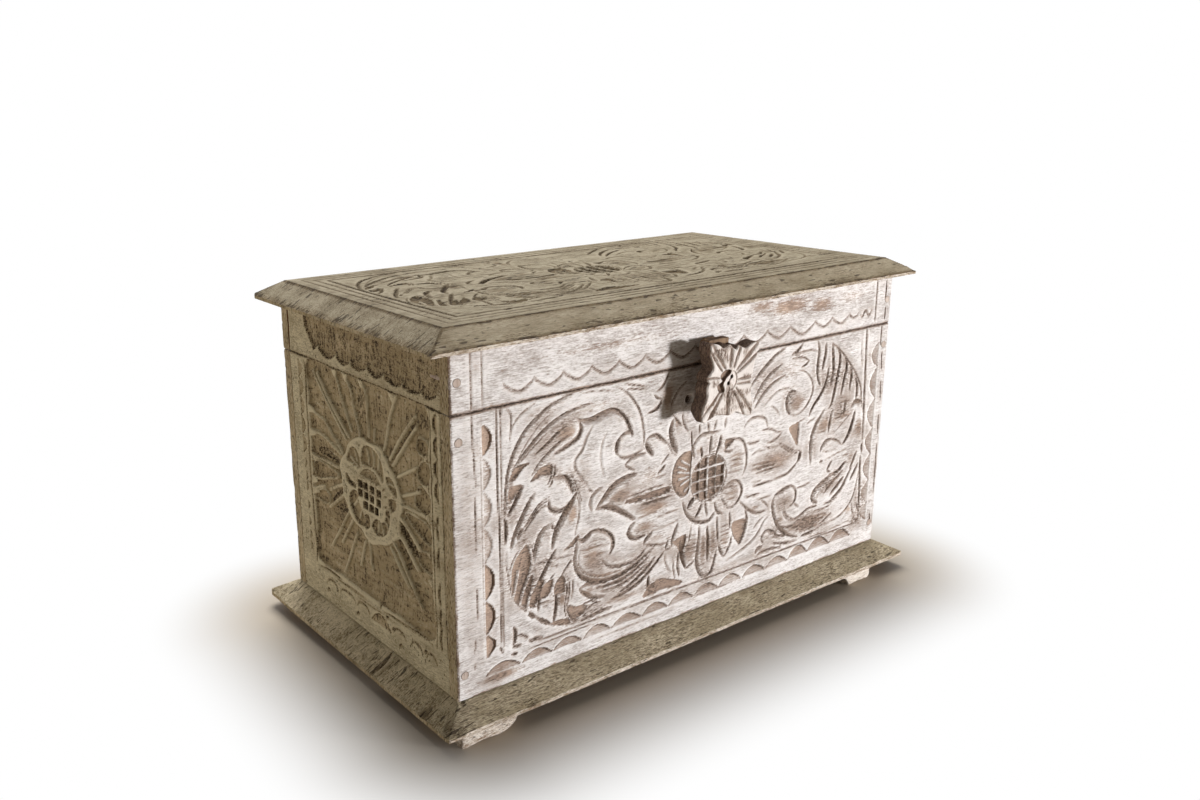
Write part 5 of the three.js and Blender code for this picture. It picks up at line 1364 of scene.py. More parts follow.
def end_flower(c):
    """A raised ring with dished petals inside it, round a grid of small square holes."""
    u, v = END_FLOWER
    angles = np.linspace(0, 2 * math.pi, 32, endpoint=False)
    reach = 1 + 0.03 * np.sin(7 * angles) + 0.025 * np.sin(11 * angles + 1)
    c.spare(*zip(u + 40 * reach * np.cos(angles), v + 35.2 * reach * np.sin(angles)))
    petals = (
        (0.45, [(87, 119.6), (90.6, 126.6), (96.4, 130.4), (102.6, 128.4), (105, 122), (104, 117),
                (98, 118)]),
        (0.45, [(107.4, 122), (108, 130), (112.5, 134.7), (120, 136), (128.3, 133.7), (134.2, 129.2),
                (136.4, 121.7), (135, 116), (131, 118.4), (126, 120.8), (120, 122), (113.3, 121.4)]),
        (0.4, [(107, 114), (110.8, 117), (118.3, 118.4), (125, 116.8), (131.4, 113), (123.3, 112.4),
               (115, 112.6)]),
        (0.5, [(139, 121), (145.5, 121.8), (151, 116.4), (152.4, 111), (147, 112.4), (141.6, 116.4)]),
        (0.95, [(84.4, 108), (87, 109.4), (90.8, 106.4), (98, 104.4), (97, 101.6), (90.8, 102), (86, 104)]),
        (0.75, [(88, 93), (90.8, 98), (96.7, 100), (100.4, 98), (101.6, 91.7), (105.4, 87), (108, 80),
                (104.6, 76.6), (98.3, 77.2), (92, 82), (88.6, 87.5)]),
        (1, [(109.4, 86.6), (114.6, 86.8), (115, 80), (110, 76.9), (107, 78)]),
        (0.8, [(118, 82), (123, 77.4), (131.7, 78.4), (138, 83.6), (142, 91.7), (141.6, 98), (137.8, 98),
               (136, 92), (131, 87.6), (124, 88)]),
        (0.7, [(141.7, 106.4), (146.4, 108.6), (150.6, 107.3), (150, 102.5), (145, 99.4), (142.5, 101.7)]),
    )
    for dark, ring in petals:
        c.dish(dark, 0.3, *ring, deep=2.1, slope=4)
    c.lifts(1, 0.5, [(91, 121.4), (97, 119.6), (103, 117.6)], [(103.6, 90), (98.6, 80.6)],
            [(99, 95), (92, 88)], [(131, 79), (128, 87)], [(138, 86), (132, 91)], [(124, 79), (125.6, 88)],
            [(139.6, 92), (135.6, 95)], [(121, 134), (121.4, 123)], [(129, 131.6), (127, 122.6)],
            [(113.4, 133), (115.4, 123.4)], [(142, 117.4), (148.6, 117)], [(97, 127.6), (99.4, 121)])
    c.cut(1.8, 0.7, (105, 112.4), (109.6, 117.6), (118, 119.6), (126, 118), (133, 112.6), ends=0.2)
    for a, b in (((134, 110.6), (139, 113.4)), ((135.6, 107), (141, 108.4)), ((134.4, 99.6), (139.6, 101)),
                 ((101, 91), (96.6, 93.4)), ((103, 88.4), (99, 86))):
        c.cut(1.5, 0.75, a, b, deep=0.9)
    for row, places in ((107, (104.2, 111.7, 120.3, 129.2)), (100, (103.7, 111.7, 119.3, 128.3)),
                        (93.3, (110.4, 118, 125))):
        for place in places:
            apart = np.maximum(np.abs(c.u - place) / 2.9, np.abs(c.v - row) / 2.6)
            at = np.flatnonzero(apart < 1)
            inner = unit((1 - apart[at]) * 3)
            c.deepen(at, 2.4 * inner, 0.5 + 0.5 * inner, 0.6)


def end_carving(c):
    end_ground(c)
    end_hollows(c)
    end_lobes(c)
    end_rays(c)
    end_flower(c)
    end_border(c)


# The lid's rails and top
# Where the wavy line's points stand on the front rail
SEAM_U = [36.5, 59, 81, 103, 125, 147, 169, 191, 214, 237, 261, 285, 312, 331, 350.6, 362]


def rail_front_carving(c):
    """A wavy line of shallow half moons above the seam, and upright lines on the stiles."""
    for first, last in zip(SEAM_U[:-1], SEAM_U[1:]):
        sag = (last - first) / 22 * 6.4
        points = [(first, 13.4), (first + 2.4, 10.6)]
        points += [((first + last) / 2, 13.2 - sag), (last - 2.4, 10.6), (last, 13.4)]
        c.cut(2, 0.6, *points, lean=-0.5, deep=0.9, ends=0.25)
    c.cut(1.8, 0.6, (362, 13), (366, 8.4), (370, 12.6), (374, 8), (377.6, 13.4))
    c.cut(1.2, 0.6, (14.4, 35), (14.6, 20), (14.4, 2), ends=0.1)
    c.cut(1.8, 0.3, (22, 35), (21.8, 18), (22.2, 2), ends=0.1, deep=0.5)
    c.cut(1.4, 0.6, (381.8, 35), (382.2, 20), (382, 4), ends=0.1)
    c.cut(2, 0.7, (393, 34), (393.6, 26), (393, 18))
    c.cut(2, 0.6, (394, 13), (394.4, 8), (394, 3))
    c.patch(0.85, 283, 27, 24, 7)
    c.patch(0.8, 318, 24, 14, 6)
    c.patch(0.6, 255, 30, 16, 5)
    c.patch(0.4, 352, 26, 20, 6)
    c.patch(0.35, 120, 24, 60, 4)


def rail_end_carving(c):
    """A sunk band whose lower edge runs in points above the seam."""
    ring = [(46, 35), (46, 9)]
    cusps = [(54, 11), (79, 10), (99, 9.4), (121, 10), (142, 9.4), (164, 8.4), (186, 8.4), (203, 10)]
    for (u0, v0), (u1, v1) in zip(cusps[:-1], cusps[1:]):
        ring += [(u0, v0), (u0 + 2, v0 - 2.6), ((u0 + u1) / 2, 4.6), (u1 - 2, v1 - 2.6)]
    ring += [cusps[-1], (203, 35)]
    c.dish(0.95, 0.6, *ring, deep=1.3, slope=1.2)
    at = np.flatnonzero(c.depth > 0)
    rough = c.noise(1.5, 12, 41, at)
    c.depth[at] += 0.25 * rough
    c.stain[at] = unit(c.stain[at] + 0.16 * rough)
    c.patch(0.8, 92, 24, 14, 9)
    c.patch(0.4, 140, 26, 40, 7, 0.2)
    c.cut(2, 0.7, (9.6, 35), (10, 20), (9.6, 2), ends=0.1)
    c.cut(1.6, 0.6, (208, 35), (207.6, 20), (208, 2), ends=0.1)


TOP_STRETCH = (1.017, 0.98)  # the lid's cartouche over the front's, along and across
TOP_FRAME = (176, 81)  # half the lid's carved rectangle, along and across


def top_carving(c, middle_u, middle_v):
    """The front's cartouche again, much worn, with its flower in the lid's middle, inside grooves."""
    u, v = c.u - middle_u, c.v - middle_v
    reach_u, reach_v = TOP_FRAME
    copy = Carving(FLOWER_U + u / TOP_STRETCH[0], FLOWER_V + v / TOP_STRETCH[1])
    cartouche(copy)
    inner = (np.abs(u) < reach_u - 2) & (np.abs(v) < reach_v - 1)
    copy.stain *= 0.7
    for values in (copy.depth, copy.stain, copy.bare):
        values *= inner
    c.take(copy, 1.1)
    frame_lines = Carving(u, v)
    for out, width, dark in ((0, 2.8, 0.95), (7, 1.6, 0.8), (13.4, 1.4, 0.6)):
        far_u, far_v = reach_u + out, reach_v + out
        ring = [(-far_u, -far_v), (far_u, -far_v), (far_u, far_v), (-far_u, far_v)]
        for start, end in zip(ring, ring[1:] + ring[:1]):
            middle = ((start[0] + end[0]) / 2, (start[1] + end[1]) / 2 + 0.4)
            frame_lines.cut(width, dark, start, middle, end, lean=0, ends=0.08)
    c.take(frame_lines)


# Pieces
def corners(node):
    """A node's lowest and highest corners, in millimetres."""
    low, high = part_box(node)
    return np.array(low) / MM, np.array(high) / MM


PEG_HOLE = 2.8  # radius of the holes that the pegs fill
LOCK_HOLE = (188, 155.7, 2.7)  # where the hole beside the latch is on the front board, and its radius
LOCK_DEEP = 8
FOOT_LINE = 0.3  # the walls start this far above the base
SEAM_LINE = 0.3  # the rails start this far above the middle of the seam
WALL_ROUND = 0.8
BOARD_STEP = 0.95  # how far apart a board's grid lines are
PLAIN_STEP = 1.9
LID_STEP = 1.15
BASE_STEP = 1.25

front_low, front_high = corners("front_board")
back_high = corners("back_board")[1]
case_length = front_high[0] - front_low[0]
case_depth = back_high[1] - front_low[1]
wall_foot = front_low[2] - FOOT_LINE


def peg_places(prefix, side, levels, face):
    """Where a side's pegs meet its face, as u, v and the radius of their holes."""
    places = []
    for end in ("left", "right"):
        for level in levels:
            low, high = corners("_".join([prefix, side, end, *level]))
            along, up, _ = face.ways @ ((low + high) / 2 - face.corner)
            places.append((float(along), float(up), PEG_HOLE))
    return places


def add_long_board(node, side, height, start, carve, step, body, seed, open_holes=()):
    """A board that runs the chest's whole length, on the front or the back."""
    low, high = corners(node)
    if side == "front":
        face = Face((low[0], low[1], height), (1, 0, 0), (0, 0, 1))
    else:
        face = Face((high[0], high[1], height), (-1, 0, 0), (0, 0, 1))
    in_case = body == "case"
    prefix, levels = ("peg", [("lower",), ("upper",)]) if in_case else ("lid_peg", [()])
    pegs = peg_places(prefix, side, levels, face)
    fine = [*pegs, *open_holes]
    us = dense_steps(0, case_length, step, [hole[0] for hole in fine])
    top = high[2] - height
    vs = dense_steps(start, top, step, sorted({round(hole[1], 1) for hole in fine}))

    def shape(c):
        carve(c)
        for u, v, radius in open_holes:
            c.deepen(np.flatnonzero(np.hypot(c.u - u, c.v - v) < radius), LOCK_DEEP, 1, 1)
        worn_edges(c, case_length, top, WALL_ROUND, seed)
        # Painted shade along the edge that meets the seam.
        c.shade(top - c.v if in_case else c.v - start)

    materials = [front_wash, end_grain, front_wash, inside_wood]
    mesh = carved_board("carved_" + node, face, us, vs, shape, high[1] - low[1], materials, seed, pegs)
    add_piece("carved_" + node, mesh, body, node)


def add_end_board(node, end, height, start, carve, body, seed):
    """A board that stands between the front and the back. The right one is the left one's mirror."""
    low, high = corners(node)
    if end == "left":
        face = Face((low[0], back_high[1], height), (0, -1, 0), (0, 0, 1))
        us = dense_steps(back_high[1] - high[1], back_high[1] - low[1], BOARD_STEP)
    else:
        face = Face((high[0], front_low[1], height), (0, 1, 0), (0, 0, 1))
        us = dense_steps(low[1] - front_low[1], high[1] - front_low[1], BOARD_STEP)
    vs = dense_steps(start, high[2] - height, BOARD_STEP)

    def shape(c):
        copy = Carving(c.u if end == "left" else case_depth - c.u, c.v)
        carve(copy)
        c.take(copy)
        # Painted shade along the edge that meets the seam.
        c.shade(vs[-1] - c.v if body == "case" else c.v - start)

    materials = [end_wash, end_wash, end_wash, inside_end_wood]
    mesh = carved_board("carved_" + node, face, us, vs, shape, high[0] - low[0], materials, seed)
    add_piece("carved_" + node, mesh, body, node)


def front_carving(c):
    front_border(c)
    front_corners(c)
    cartouche(c)
    front_zones(c)


def plain_face(c):
    """No carving, only shallow dents."""
    c.form += 0.25 * unit(c.noise(17, 9, 61))


LEDGE = 0.8  # flat strip between the walls and the base's bevel
BASE_EDGE = 2.6  # height of the upright edges under the bevels
LID_EDGE = 2.2
LID_BEVEL = (18.8, 16.4)  # how far the lid's bevel runs in, from its ends and from its sides
SILL = 6  # how far inside the walls' outer faces the base counts as indoors, from its ends and from its sides
SILL_SIDE = 5
BASE_RAGGED = 0.5
LID_RAGGED = 0.35


def bevel(c, length, depth, rise, runs):
    """The wide bevel round a board: it falls by rise over the run of each side that has one."""
    gaps = (c.u, length - c.u, c.v, depth - c.v)
    fall = np.zeros_like(c.u)
    for gap, run in zip(gaps, runs):
        if run:
            fall = np.maximum(fall, rise * unit(1 - gap / run))
    c.form += fall
    return fall / rise


def chip(c, u, v, reach, deep):
    """A corner or an edge knocked off: a shallow round hollow."""
    apart = np.hypot(c.u - u, c.v - v) + 1.2 * c.noise(4, 4, 83)
    c.form += deep * unit(1 - apart / reach) ** 0.7
    c.darken(0.4 * unit(1.3 - apart / reach))


def add_base_plank(node, has_front, seed):
    low, high = corners(node)
    length, depth, thickness = high - low
    face = Face((low[0], low[1], high[2]), (1, 0, 0), (0, 1, 0))
    out_end = front_low[0] - low[0] - LEDGE
    out_side = front_low[1] - corners("base_plank_front")[0][1] - LEDGE
    runs = (out_end, out_end, out_side if has_front else 0, 0 if has_front else out_side)

    def shape(c):
        slope = bevel(c, length, depth, thickness - BASE_EDGE, runs)
        to_end = np.minimum(c.u, length - c.u)
        # The bevels at the ends are rubbed barer: partly wear, and partly painted shade for the end bevels,
        # which lie out of the key light.
        c.rub(0.3 * unit(1.4 - to_end / out_end))
        if has_front:
            c.darken(0.24 * ((c.v < out_side) & (c.v < to_end)))
        c.rub(0.25 * unit(1 - np.abs(slope - 0.1) / 0.16))
        dents = c.noise(5.5, 2.6, seed) + 0.6 * c.noise(2.4, 1.3, seed + 1)
        c.deepen(..., 0.45 * unit(dents - 0.45) * (slope > 0.02))
        if has_front:
            for knock in ((7, 4, 7, 2.2), (2, 30, 4, 0.9), (21, 17, 3.4, 0.9), (60, 1, 5, 0.7)):
                chip(c, *knock)
            c.cut(2.6, 0.9, (1, depth - 1), (9, depth - 2.4), (17, depth - 0.6))
        chip(c, length - 3, depth - 60, 5, 0.8)

    indoors = ((front_low[0] - low[0] + SILL, front_high[0] - low[0] - SILL),
               (max(front_low[1] - low[1], -1) + SILL_SIDE * has_front, back_high[1] - low[1] - SILL_SIDE))
    rounds = [(0, 0, 2.5), (length, 0, 3)] if has_front else [(0, depth, 6), (length, depth, 5)]
    us, vs = (dense_steps(0, reach, BASE_STEP) for reach in (length, depth))
    materials = [base_wash, end_grain, edge_wash, inside_wood]
    mesh = carved_board("worn_" + node, face, us, vs, shape, thickness, materials, seed, (), BASE_RAGGED,
                        indoors, rounds)
    add_piece("worn_" + node, mesh, "case", node)


def add_lid_board(seed):
    low, high = corners("lid_board")
    length, depth, thickness = high - low
    run_end, run_side = LID_BEVEL
    face = Face((low[0], low[1], high[2]), (1, 0, 0), (0, 1, 0))

    def shape(c):
        slope = bevel(c, length, depth, thickness - LID_EDGE, (run_end, run_end, run_side, run_side))
        top_carving(c, length / 2, depth / 2)
        dents = c.noise(6, 1.7, 91) + 0.5 * c.noise(2.5, 1.2, 92)
        c.deepen(..., 0.4 * unit(dents - 0.5))
        to_end = np.minimum(c.u, length - c.u)
        to_side = np.minimum(c.v, depth - c.v)
        past = to_end / run_end - to_side / run_side
        arris = unit(1.2 - np.abs(slope - 0.03) * 14) * (slope > 0.004)
        hip = np.maximum(arris, unit(1 - np.abs(past) * 12) * (slope > 0.03))
        c.rub(0.16 * (to_end < run_end))
        c.rub(0.55 * unit(1.25 - to_end / (0.3 * run_end)))
        c.rub(0.7 * unit(1.1 - to_side / 2.4))
        c.rub(0.9 * hip)
        c.darken(0.55 * hip)
        c.darken(0.14 * ((slope > 0.03) & (past > 0)))
        c.darken(0.5 * unit(1.5 - to_side / 1.4) * (past > 0))
        chip(c, 1, 1, 4, 0.9)
        chip(c, length - 2, 2, 5, 0.8)

    rounds = [(0, 0, 2), (length, 0, 3), (0, depth, 7), (length, depth, 5)]
    us, vs = (dense_steps(0, reach, LID_STEP) for reach in (length, depth))
    materials = [top_wash, end_grain, edge_wash, inside_wood]
    mesh = carved_board("carved_lid_board", face, us, vs, shape, thickness, materials, seed, (), LID_RAGGED,
                        None, rounds)
    add_piece("carved_lid_board", mesh, "lid", "lid_board")


FOOT_SOLE = 27  # length of a foot's flat sole
FOOT_ROUND = 1.5
HEEL_LEFT, HEEL_RIGHT = 1.4, 3.4  # how round the lower corners of the feet's outer ends are
EDGE_STATIONS = np.array([0, 0.25, 0.7, 1.2])  # outlines this far behind a foot's face, and before its back
STATION_STEP = 1.5


def foot_profile(length, height, heel_round, is_coved):
    """A foot seen from the front, as how far in from its outer end and how far up each point is: an upright
    end, a rounded heel, a flat sole and an inner end that rises as a quarter of an oval, hollow on a coved
    foot and full on a rounded one."""
    upright = [(0, height * share) for share in np.linspace(1, 0, 7)[:-1] if height * share > heel_round]
    turn = np.linspace(0, math.pi / 2, 6)
    heel = [(heel_round * (1 - math.cos(a)), heel_round * (1 - math.sin(a))) for a in turn]
    sole = [(a, 0) for a in np.linspace(heel_round, FOOT_SOLE, 9)[1:-1]]
    sweep = np.linspace(0, math.pi / 2, 14)
    far, full = 1 - np.cos(sweep), np.sin(sweep)
    out, rise = (far, full) if is_coved else (full, far)
    inner = list(zip(FOOT_SOLE + (length - FOOT_SOLE) * out, height * rise))
    top = [(a, height) for a in np.linspace(length, 0, 16)[1:-1]]
    return np.array(upright + heel + sole + inner + top)


def closed_bands(count, rings, last_centre):
    """Triangles between rings of the same count of points, and fans that close both ends. The fans' middles
    are the two points that follow the rings."""
    index = np.arange(count)
    after = (index + 1) % count
    rows = []
    for ring in range(rings - 1):
        near, far = ring * count, (ring + 1) * count
        rows.append(np.stack([near + after, near + index, far + after], 1))
        rows.append(np.stack([far + after, near + index, far + index], 1))
    end = (rings - 1) * count
    rows.append(np.stack([index, after, np.full(count, last_centre - 1)], 1))
    rows.append(np.stack([end + after, end + index, np.full(count, last_centre)], 1))
    return np.concatenate(rows)


def add_foot(node, outer_is_left, heel_round, seed):
    """A foot's profile carried from its front to its back, drawn in as a quarter circle at both ends, and
    dented."""
    low, high = corners(node)
    length, depth, height = high - low
    profile = foot_profile(length, height, heel_round, not outer_is_left)
    middle = np.array([FOOT_SOLE * 0.6, height * 0.8])
    between = np.arange(2, depth - 1.6, STATION_STEP)
    stations = np.concatenate([EDGE_STATIONS, between, depth - EDGE_STATIONS[::-1]])
    short = np.clip(FOOT_ROUND - np.minimum(stations, depth - stations), 0, None)
    inset = np.clip(FOOT_ROUND - np.sqrt(np.maximum(FOOT_ROUND ** 2 - short ** 2, 0)), 0, None)
    away = profile - middle
    unit_away = away / np.hypot(away[:, 0], away[:, 1])[:, None]
    outlines = profile[None] - unit_away[None] * inset[:, None, None]
    first, last = (middle + (outlines[end] - middle) * 0.5 for end in (slice(None, 1), slice(-1, None)))
    outlines = np.concatenate([first, outlines, last])
    stations = np.concatenate([stations[:1], stations, stations[-1:]])
    along, up = outlines[..., 0], outlines[..., 1]
    back = np.broadcast_to(stations[:, None], along.shape)
    dents = 0.22 * (1 + lattice_noise(along + 60, back + up * 1.7, 7, 7, seed))
    dents = dents + 0.2 * (1 + lattice_noise(along + up, back, 2.6, 2.6, seed + 1))
    outlines = outlines - unit_away[None] * np.where(up < height - 0.4, dents, 0)[..., None]
    start, way = (low[0], 1) if outer_is_left else (high[0], -1)
    up = np.clip(outlines[..., 1], 0, height)
    points = np.stack([start + way * outlines[..., 0], low[1] + back, low[2] + up], -1).reshape(-1, 3)
    ends = [[start + way * middle[0], y, low[2] + middle[1]] for y in (low[1], high[1])]
    points = np.concatenate([points, ends])
    triangles = closed_bands(len(profile), len(stations), len(points) - 1)[:, ::way]
    # The feet at the left end are barer than those at the right, which paints in the shade at that end; all
    # are barer towards the floor.
    bare = unit((0.5 if outer_is_left else 0.2) - points[:, 2] / height * 0.3)
    plain = np.zeros(len(points))
    attributes = {"low": plain, "stain": plain, "bare": bare, "hollow": plain}
    mesh = build_mesh("worn_" + node, points, triangles, np.zeros(len(triangles)), [foot_wash], attributes)
    add_piece("worn_" + node, mesh, "case", node)


# The latch's block
ROSETTE_SIDES = 260
ROSETTE_RINGS = np.concatenate([np.linspace(0, 0.95, 62)[1:], [0.965, 0.98, 0.992, 1.0]])
SIDE_SHARES = (0.12, 0.3, 0.5, 0.7, 0.88, 1.0)  # rings down the block's sides
BACK_SHARES = (0.92, 0.75, 0.5, 0.25)  # rings on its back, as shares of the way out to the rim
NAILS = ((1.4, 2.0), (-1.4, -2.0))
NAIL_HOLE = 1.35
NAIL_DEEP = 1.65
TAPER_HEIGHT = 9  # the block's lower end is thinned from behind over this height
TAPER_DEEP = 8
BOSS_REACH = 6  # rim points are further than this from the boss's middle


def rosette_carving(c):
    """Rays cut from the boss out through the edges, in pairs to the corners, and a deep hollow on the left of
    the ring that holds the two nails."""
    rays = (
        (3.2, [(-4.6, 8), (-11, 17), (-19, 29)]), (2.4, [(-7.6, 7), (-12.4, 13), (-20, 23)]),
        (3.4, [(-0.6, 8.6), (0.6, 16), (1.8, 28)]), (2.6, [(3.2, 7.6), (6.4, 15), (11, 27)]),
        (3.2, [(6, 5.6), (15, 12.6), (29, 24)]), (2.6, [(6.8, 3.6), (15, 8), (30, 17)]),
        (2.4, [(7, -1), (14, -1), (27, -0.6)]), (2.4, [(7, -4), (14, -4.4), (27, -4.6)]),
        (2.8, [(6, -6), (13, -14), (22, -26)]), (2.4, [(3.4, -8), (9.6, -17), (16, -29)]),
        (3.2, [(-1.4, -8), (-1.4, -16), (-1, -30)]), (2.8, [(-6, -7.8), (-12, -16), (-22, -28)]),
        (2.4, [(-8.6, -6.4), (-14, -12), (-25, -22)]), (2.2, [(-10, 2.6), (-15, 3.4), (-25, 4)]),
    )
    for width, line in rays:
        c.cut(width * 1.3, 0.24, *line, lean=0, deep=1.4, ends=0.15)
    c.dish(0.75, 0.7, (0.7, 6.4), (-3.5, 7.2), (-8.3, 5.3), (-9, 2.5), (-7.6, 0.3), (-11.8, -2),
           (-10.4, -5.8), (-7.6, -7.5), (-4.9, -7), (-5.2, -4.7), (-6.2, -2), (-3.8, 1.4), (0, 4.2),
           deep=2.4, slope=1.6)
    c.cut(1.8, 0.2, (1, 6.2), (4.6, 4.6), (6.4, 1), (6, -3), (3.4, -6), (-0.6, -7), (-4, -6),
          deep=0.6, ends=0.2)
    c.cut(1.4, 0.8, (-1.4, -2), (0, 0), (1.4, 2), lean=0, deep=0.7)
    for u, v in NAILS:
        c.deepen(np.flatnonzero(np.hypot(c.u - u, c.v - v) < NAIL_HOLE), NAIL_DEEP, 1, 1)
    c.patch(0.5, 14, 16, 9, 6)
    c.patch(0.5, -14, -14, 6, 9)
    c.darken(0.5 * unit(c.noise(7, 5, 81) + 0.1))


def rosette_radius(middle, turn):
    """How far the block's own outline is from its boss in each direction, through the frame's rim points."""
    flat = np.array([vertex.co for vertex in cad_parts["latch_rosette"].data.vertices]) / MM
    rim = flat[flat[:, 1] < flat[:, 1].min() + 0.01][:, [0, 2]] - middle
    rim = np.unique(np.round(rim, 2), axis=0)
    rim = rim[np.hypot(rim[:, 0], rim[:, 1]) > BOSS_REACH]
    rim = rim[np.argsort(np.arctan2(rim[:, 1], rim[:, 0]))]
    line = smooth_line(rim, closed=True, steps=12)
    angles = np.unwrap(np.arctan2(line[:, 1], line[:, 0]))
    wrapped = np.concatenate([angles - 2 * math.pi, angles, angles + 2 * math.pi])
    return np.interp(turn, wrapped, np.tile(np.hypot(line[:, 0], line[:, 1]), 3)) - 0.25


def add_rosette():
    """The carved block: rings of points from the boss out to the frame's own outline, down the sides, and
    to the middle again across the flat back, whose lower end is thinned."""
    low, high = corners("latch_rosette")
    brads = [corners(node) for node in ("latch_brad_upper", "latch_brad_lower")]
    boss_u, _, boss_v = np.mean([(first + last) / 2 for first, last in brads], 0)
    thickness = high[1] - low[1]
    turn = np.linspace(0, 2 * math.pi, ROSETTE_SIDES, endpoint=False) - math.pi
    radius = rosette_radius((boss_u, boss_v), turn)
    shares = ROSETTE_RINGS[:, None]
    u = np.concatenate([[0.0], (shares * radius * np.cos(turn)).ravel()])
    v = np.concatenate([[0.0], (shares * radius * np.sin(turn)).ravel()])
    c = Carving(u, v)
    rosette_carving(c)
    to_rim = np.concatenate([[9.0], ((1 - shares) * radius).ravel()])
    edge = unit(1.1 - to_rim)
    c.form += 0.9 * edge ** 2 + 0.25 * (1 + c.noise(9, 9, 77)) * np.clip(to_rim / 6, 0.3, 1)
    c.rub(0.5 * edge)
    into = np.clip(c.depth + c.form, 0.02, None)
    front = np.stack([u + boss_u, low[1] + into, v + boss_v], 1)
    rim_u, rim_v = radius * np.cos(turn), radius * np.sin(turn)

    def back_depth(height):
        return thickness - TAPER_DEEP * unit((rim_v.min() + TAPER_HEIGHT - height) / TAPER_HEIGHT)

    def ring(share, deep):
        return np.stack([rim_u * share + boss_u, low[1] + deep, rim_v * share + boss_v], 1)

    rim_into = into[-ROSETTE_SIDES:]
    rows = []
    for share in SIDE_SHARES:
        deep = rim_into + (back_depth(rim_v) - rim_into) * share
        dent = 0.35 * (1 + lattice_noise(turn * 25 + 300, deep, 2.4, 3.2, 79))
        rows.append(ring(1 - dent * min(share * 4, (1 - share) * 4, 1) / radius, deep))
    rows += [ring(share, back_depth(rim_v * share)) for share in BACK_SHARES]
    sides = np.concatenate(rows)
    points = np.concatenate([front[1:], sides, front[:1], [[boss_u, high[1], boss_v]]])
    triangles = closed_bands(ROSETTE_SIDES, len(ROSETTE_RINGS) + len(rows), len(points) - 1)

    def spread(values, fill):
        return np.concatenate([values[1:], np.full(len(sides), fill), values[:1], [fill]])

    # The block's sides and back take stain 0.62, low 0.8 and bare 0.2: painted shade for the shade on the
    # sides seen beside the face. hollow below nothing on the face's shallow parts gives them the washes'
    # painted highlight.
    attributes = {
        "low": spread(unit(c.depth / 3), 0.8), "stain": spread(c.stain, 0.62), "bare": spread(c.bare, 0.2),
        "hollow": spread(np.clip(c.depth / 1.2 - 0.4, -0.4, 1), 0.0),
    }
    mesh = build_mesh("carved_rosette", points, triangles, np.zeros(len(triangles)), [latch_wash], attributes)
    add_piece("carved_rosette", mesh, "latch", "latch_rosette")


def dress_case():
    add_long_board("front_board", "front", wall_foot, FOOT_LINE, front_carving, BOARD_STEP, "case", 1,
                   [LOCK_HOLE])
    add_long_board("back_board", "back", wall_foot, FOOT_LINE, plain_face, PLAIN_STEP, "case", 5)
    for end, seed in (("left", 7), ("right", 9)):
        add_end_board(f"{end}_end_board", end, wall_foot, FOOT_LINE, end_carving, "case", seed)
    add_base_plank("base_plank_front", True, 21)
    add_base_plank("base_plank_back", False, 25)
    for row, seed in (("front", 31), ("back", 35)):
        add_foot(f"foot_{row}_left", True, HEEL_LEFT, seed)
        add_foot(f"foot_{row}_right", False, HEEL_RIGHT, seed + 2)


def dress_lid():
    seam = corners("lid_front_rail")[0][2] - SEAM_LINE
    add_long_board("lid_front_rail", "front", seam, SEAM_LINE, rail_front_carving, BOARD_STEP, "lid", 41)
    add_long_board("lid_back_rail", "back", seam, SEAM_LINE, plain_face, PLAIN_STEP, "lid", 43)
    for end, seed in (("left", 45), ("right", 47)):
        add_end_board(f"lid_{end}_rail", end, seam, SEAM_LINE, rail_end_carving, "lid", seed)
    add_lid_board(17)


def dress_fittings():
    """The small pieces keep their frame shapes, and get finishes of their own."""
    for name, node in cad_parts.items():
        if node.hide_render:
            continue
        if "peg" in name:
            finish = peg_end
        elif name in ("latch_tongue", "latch_hanger"):
            finish = latch_wood
        elif name.startswith("latch"):
            finish = dark_iron
        else:
            finish = hinge_brass
        node.data.materials.clear()
        node.data.materials.append(finish)


# Floor, world and lamps. Lengths are in metres here
FLOOR_REACH = 6
# The floor's tone is darker than the white background: near the chest it paints a pool of shade as well as
# showing the real shadow.
FLOOR_TONE = srgb(198, 186, 169)
POOL = (0.18, 0.09, 0)  # half the rectangle that the shadow's fading is measured from
POOL_NEAR = 0.03
POOL_FAR = 0.14
FILL_LIGHT = {"Color": (1, 0.95, 0.86, 1), "Strength": 0.1}


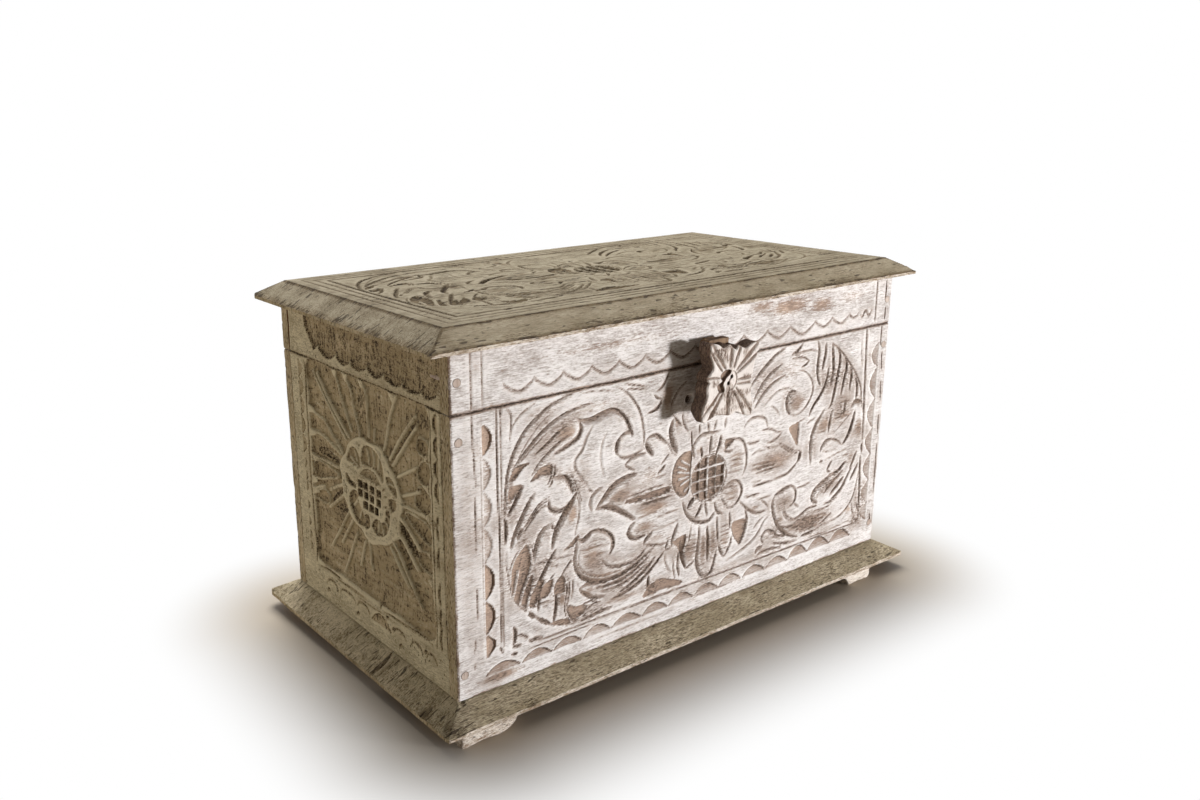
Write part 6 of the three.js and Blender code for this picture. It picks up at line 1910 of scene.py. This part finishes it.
def add_stage():
    """A pale floor whose real shadow shows near the chest, and fades into the white background further off.
    Its tone is darker than that white, so near the chest it also paints a pool of shade.
    """
    material = bpy.data.materials.new("pale_floor")
    f = Nodes(material, "ShaderNodeOutputMaterial")
    matt = f.node("ShaderNodeBsdfPrincipled", {}, {"Base Color": FLOOR_TONE, "Roughness": 0.9})
    white = f.node("ShaderNodeEmission", {}, {"Color": WHITE, "Strength": 1.0})
    side = f.vector("ABSOLUTE", f.node("ShaderNodeTexCoord", output="Object"))
    past = f.vector("MAXIMUM", f.vector("SUBTRACT", side, POOL), (0, 0, 0))
    apart = f.vector("LENGTH", past, output="Value")
    rays = ("Is Camera Ray", "Is Glossy Ray", "Is Transmission Ray")
    seen, glossy, through = (f.node("ShaderNodeLightPath", output=ray) for ray in rays)
    shown = f.math("MINIMUM", seen + glossy + through, 1.0)
    share = f.step(apart, POOL_NEAR, POOL_FAR) * shown
    f.show(f.node("ShaderNodeMixShader", {}, {0: share, 1: matt, 2: white}))
    mesh = bpy.data.meshes.new("floor")
    ways = ((-1, -1), (1, -1), (1, 1), (-1, 1))
    mesh.from_pydata([(x * FLOOR_REACH, y * FLOOR_REACH, 0) for x, y in ways], [], [(0, 1, 2, 3)])
    mesh.materials.append(material)
    floor = bpy.data.objects.new("floor", mesh)
    bpy.context.scene.collection.objects.link(floor)


def add_world():
    """Even fill light, and white for what the camera sees of it."""
    world = bpy.data.worlds.new("studio")
    bpy.context.scene.world = world
    sky = Nodes(world, "ShaderNodeOutputWorld")
    seen = sky.node("ShaderNodeLightPath", output="Is Camera Ray")
    fill = sky.node("ShaderNodeBackground", {}, FILL_LIGHT)
    white = sky.node("ShaderNodeBackground", {}, {"Color": WHITE, "Strength": 1.0})
    sky.show(sky.node("ShaderNodeMixShader", {}, {0: seen, 1: fill, 2: white}))


def add_lamp(name, place, target, size, watts, colour):
    """A round soft lamp that is turned to its target."""
    data = bpy.data.lights.new(name, "AREA")
    data.shape = "DISK"
    data.size = size
    data.energy = watts
    data.color = colour
    lamp = bpy.data.objects.new(name, data)
    way = Vector(target) - Vector(place)
    lamp.matrix_world = Matrix.Translation(place) @ way.to_track_quat("-Z", "Y").to_matrix().to_4x4()
    bpy.context.scene.collection.objects.link(lamp)


add_camera()
dress_case()
dress_lid()
add_rosette()
dress_fittings()
add_stage()
add_world()
add_lamp("key", (1.75, -2.4, 0.13), (0, 0, 0.15), 0.4, 112, (1, 0.99, 0.99))
add_lamp("top", (0.3, 0.75, 1.6), (0, 0, 0.13), 1.4, 32, (1, 0.985, 0.955))
add_lamp("side", (-1.7, 0.9, 0.2), (-0.2, 0, 0.14), 0.6, 7.4, (1, 0.92, 0.79))

bpy.context.scene.view_settings.view_transform = "Standard"
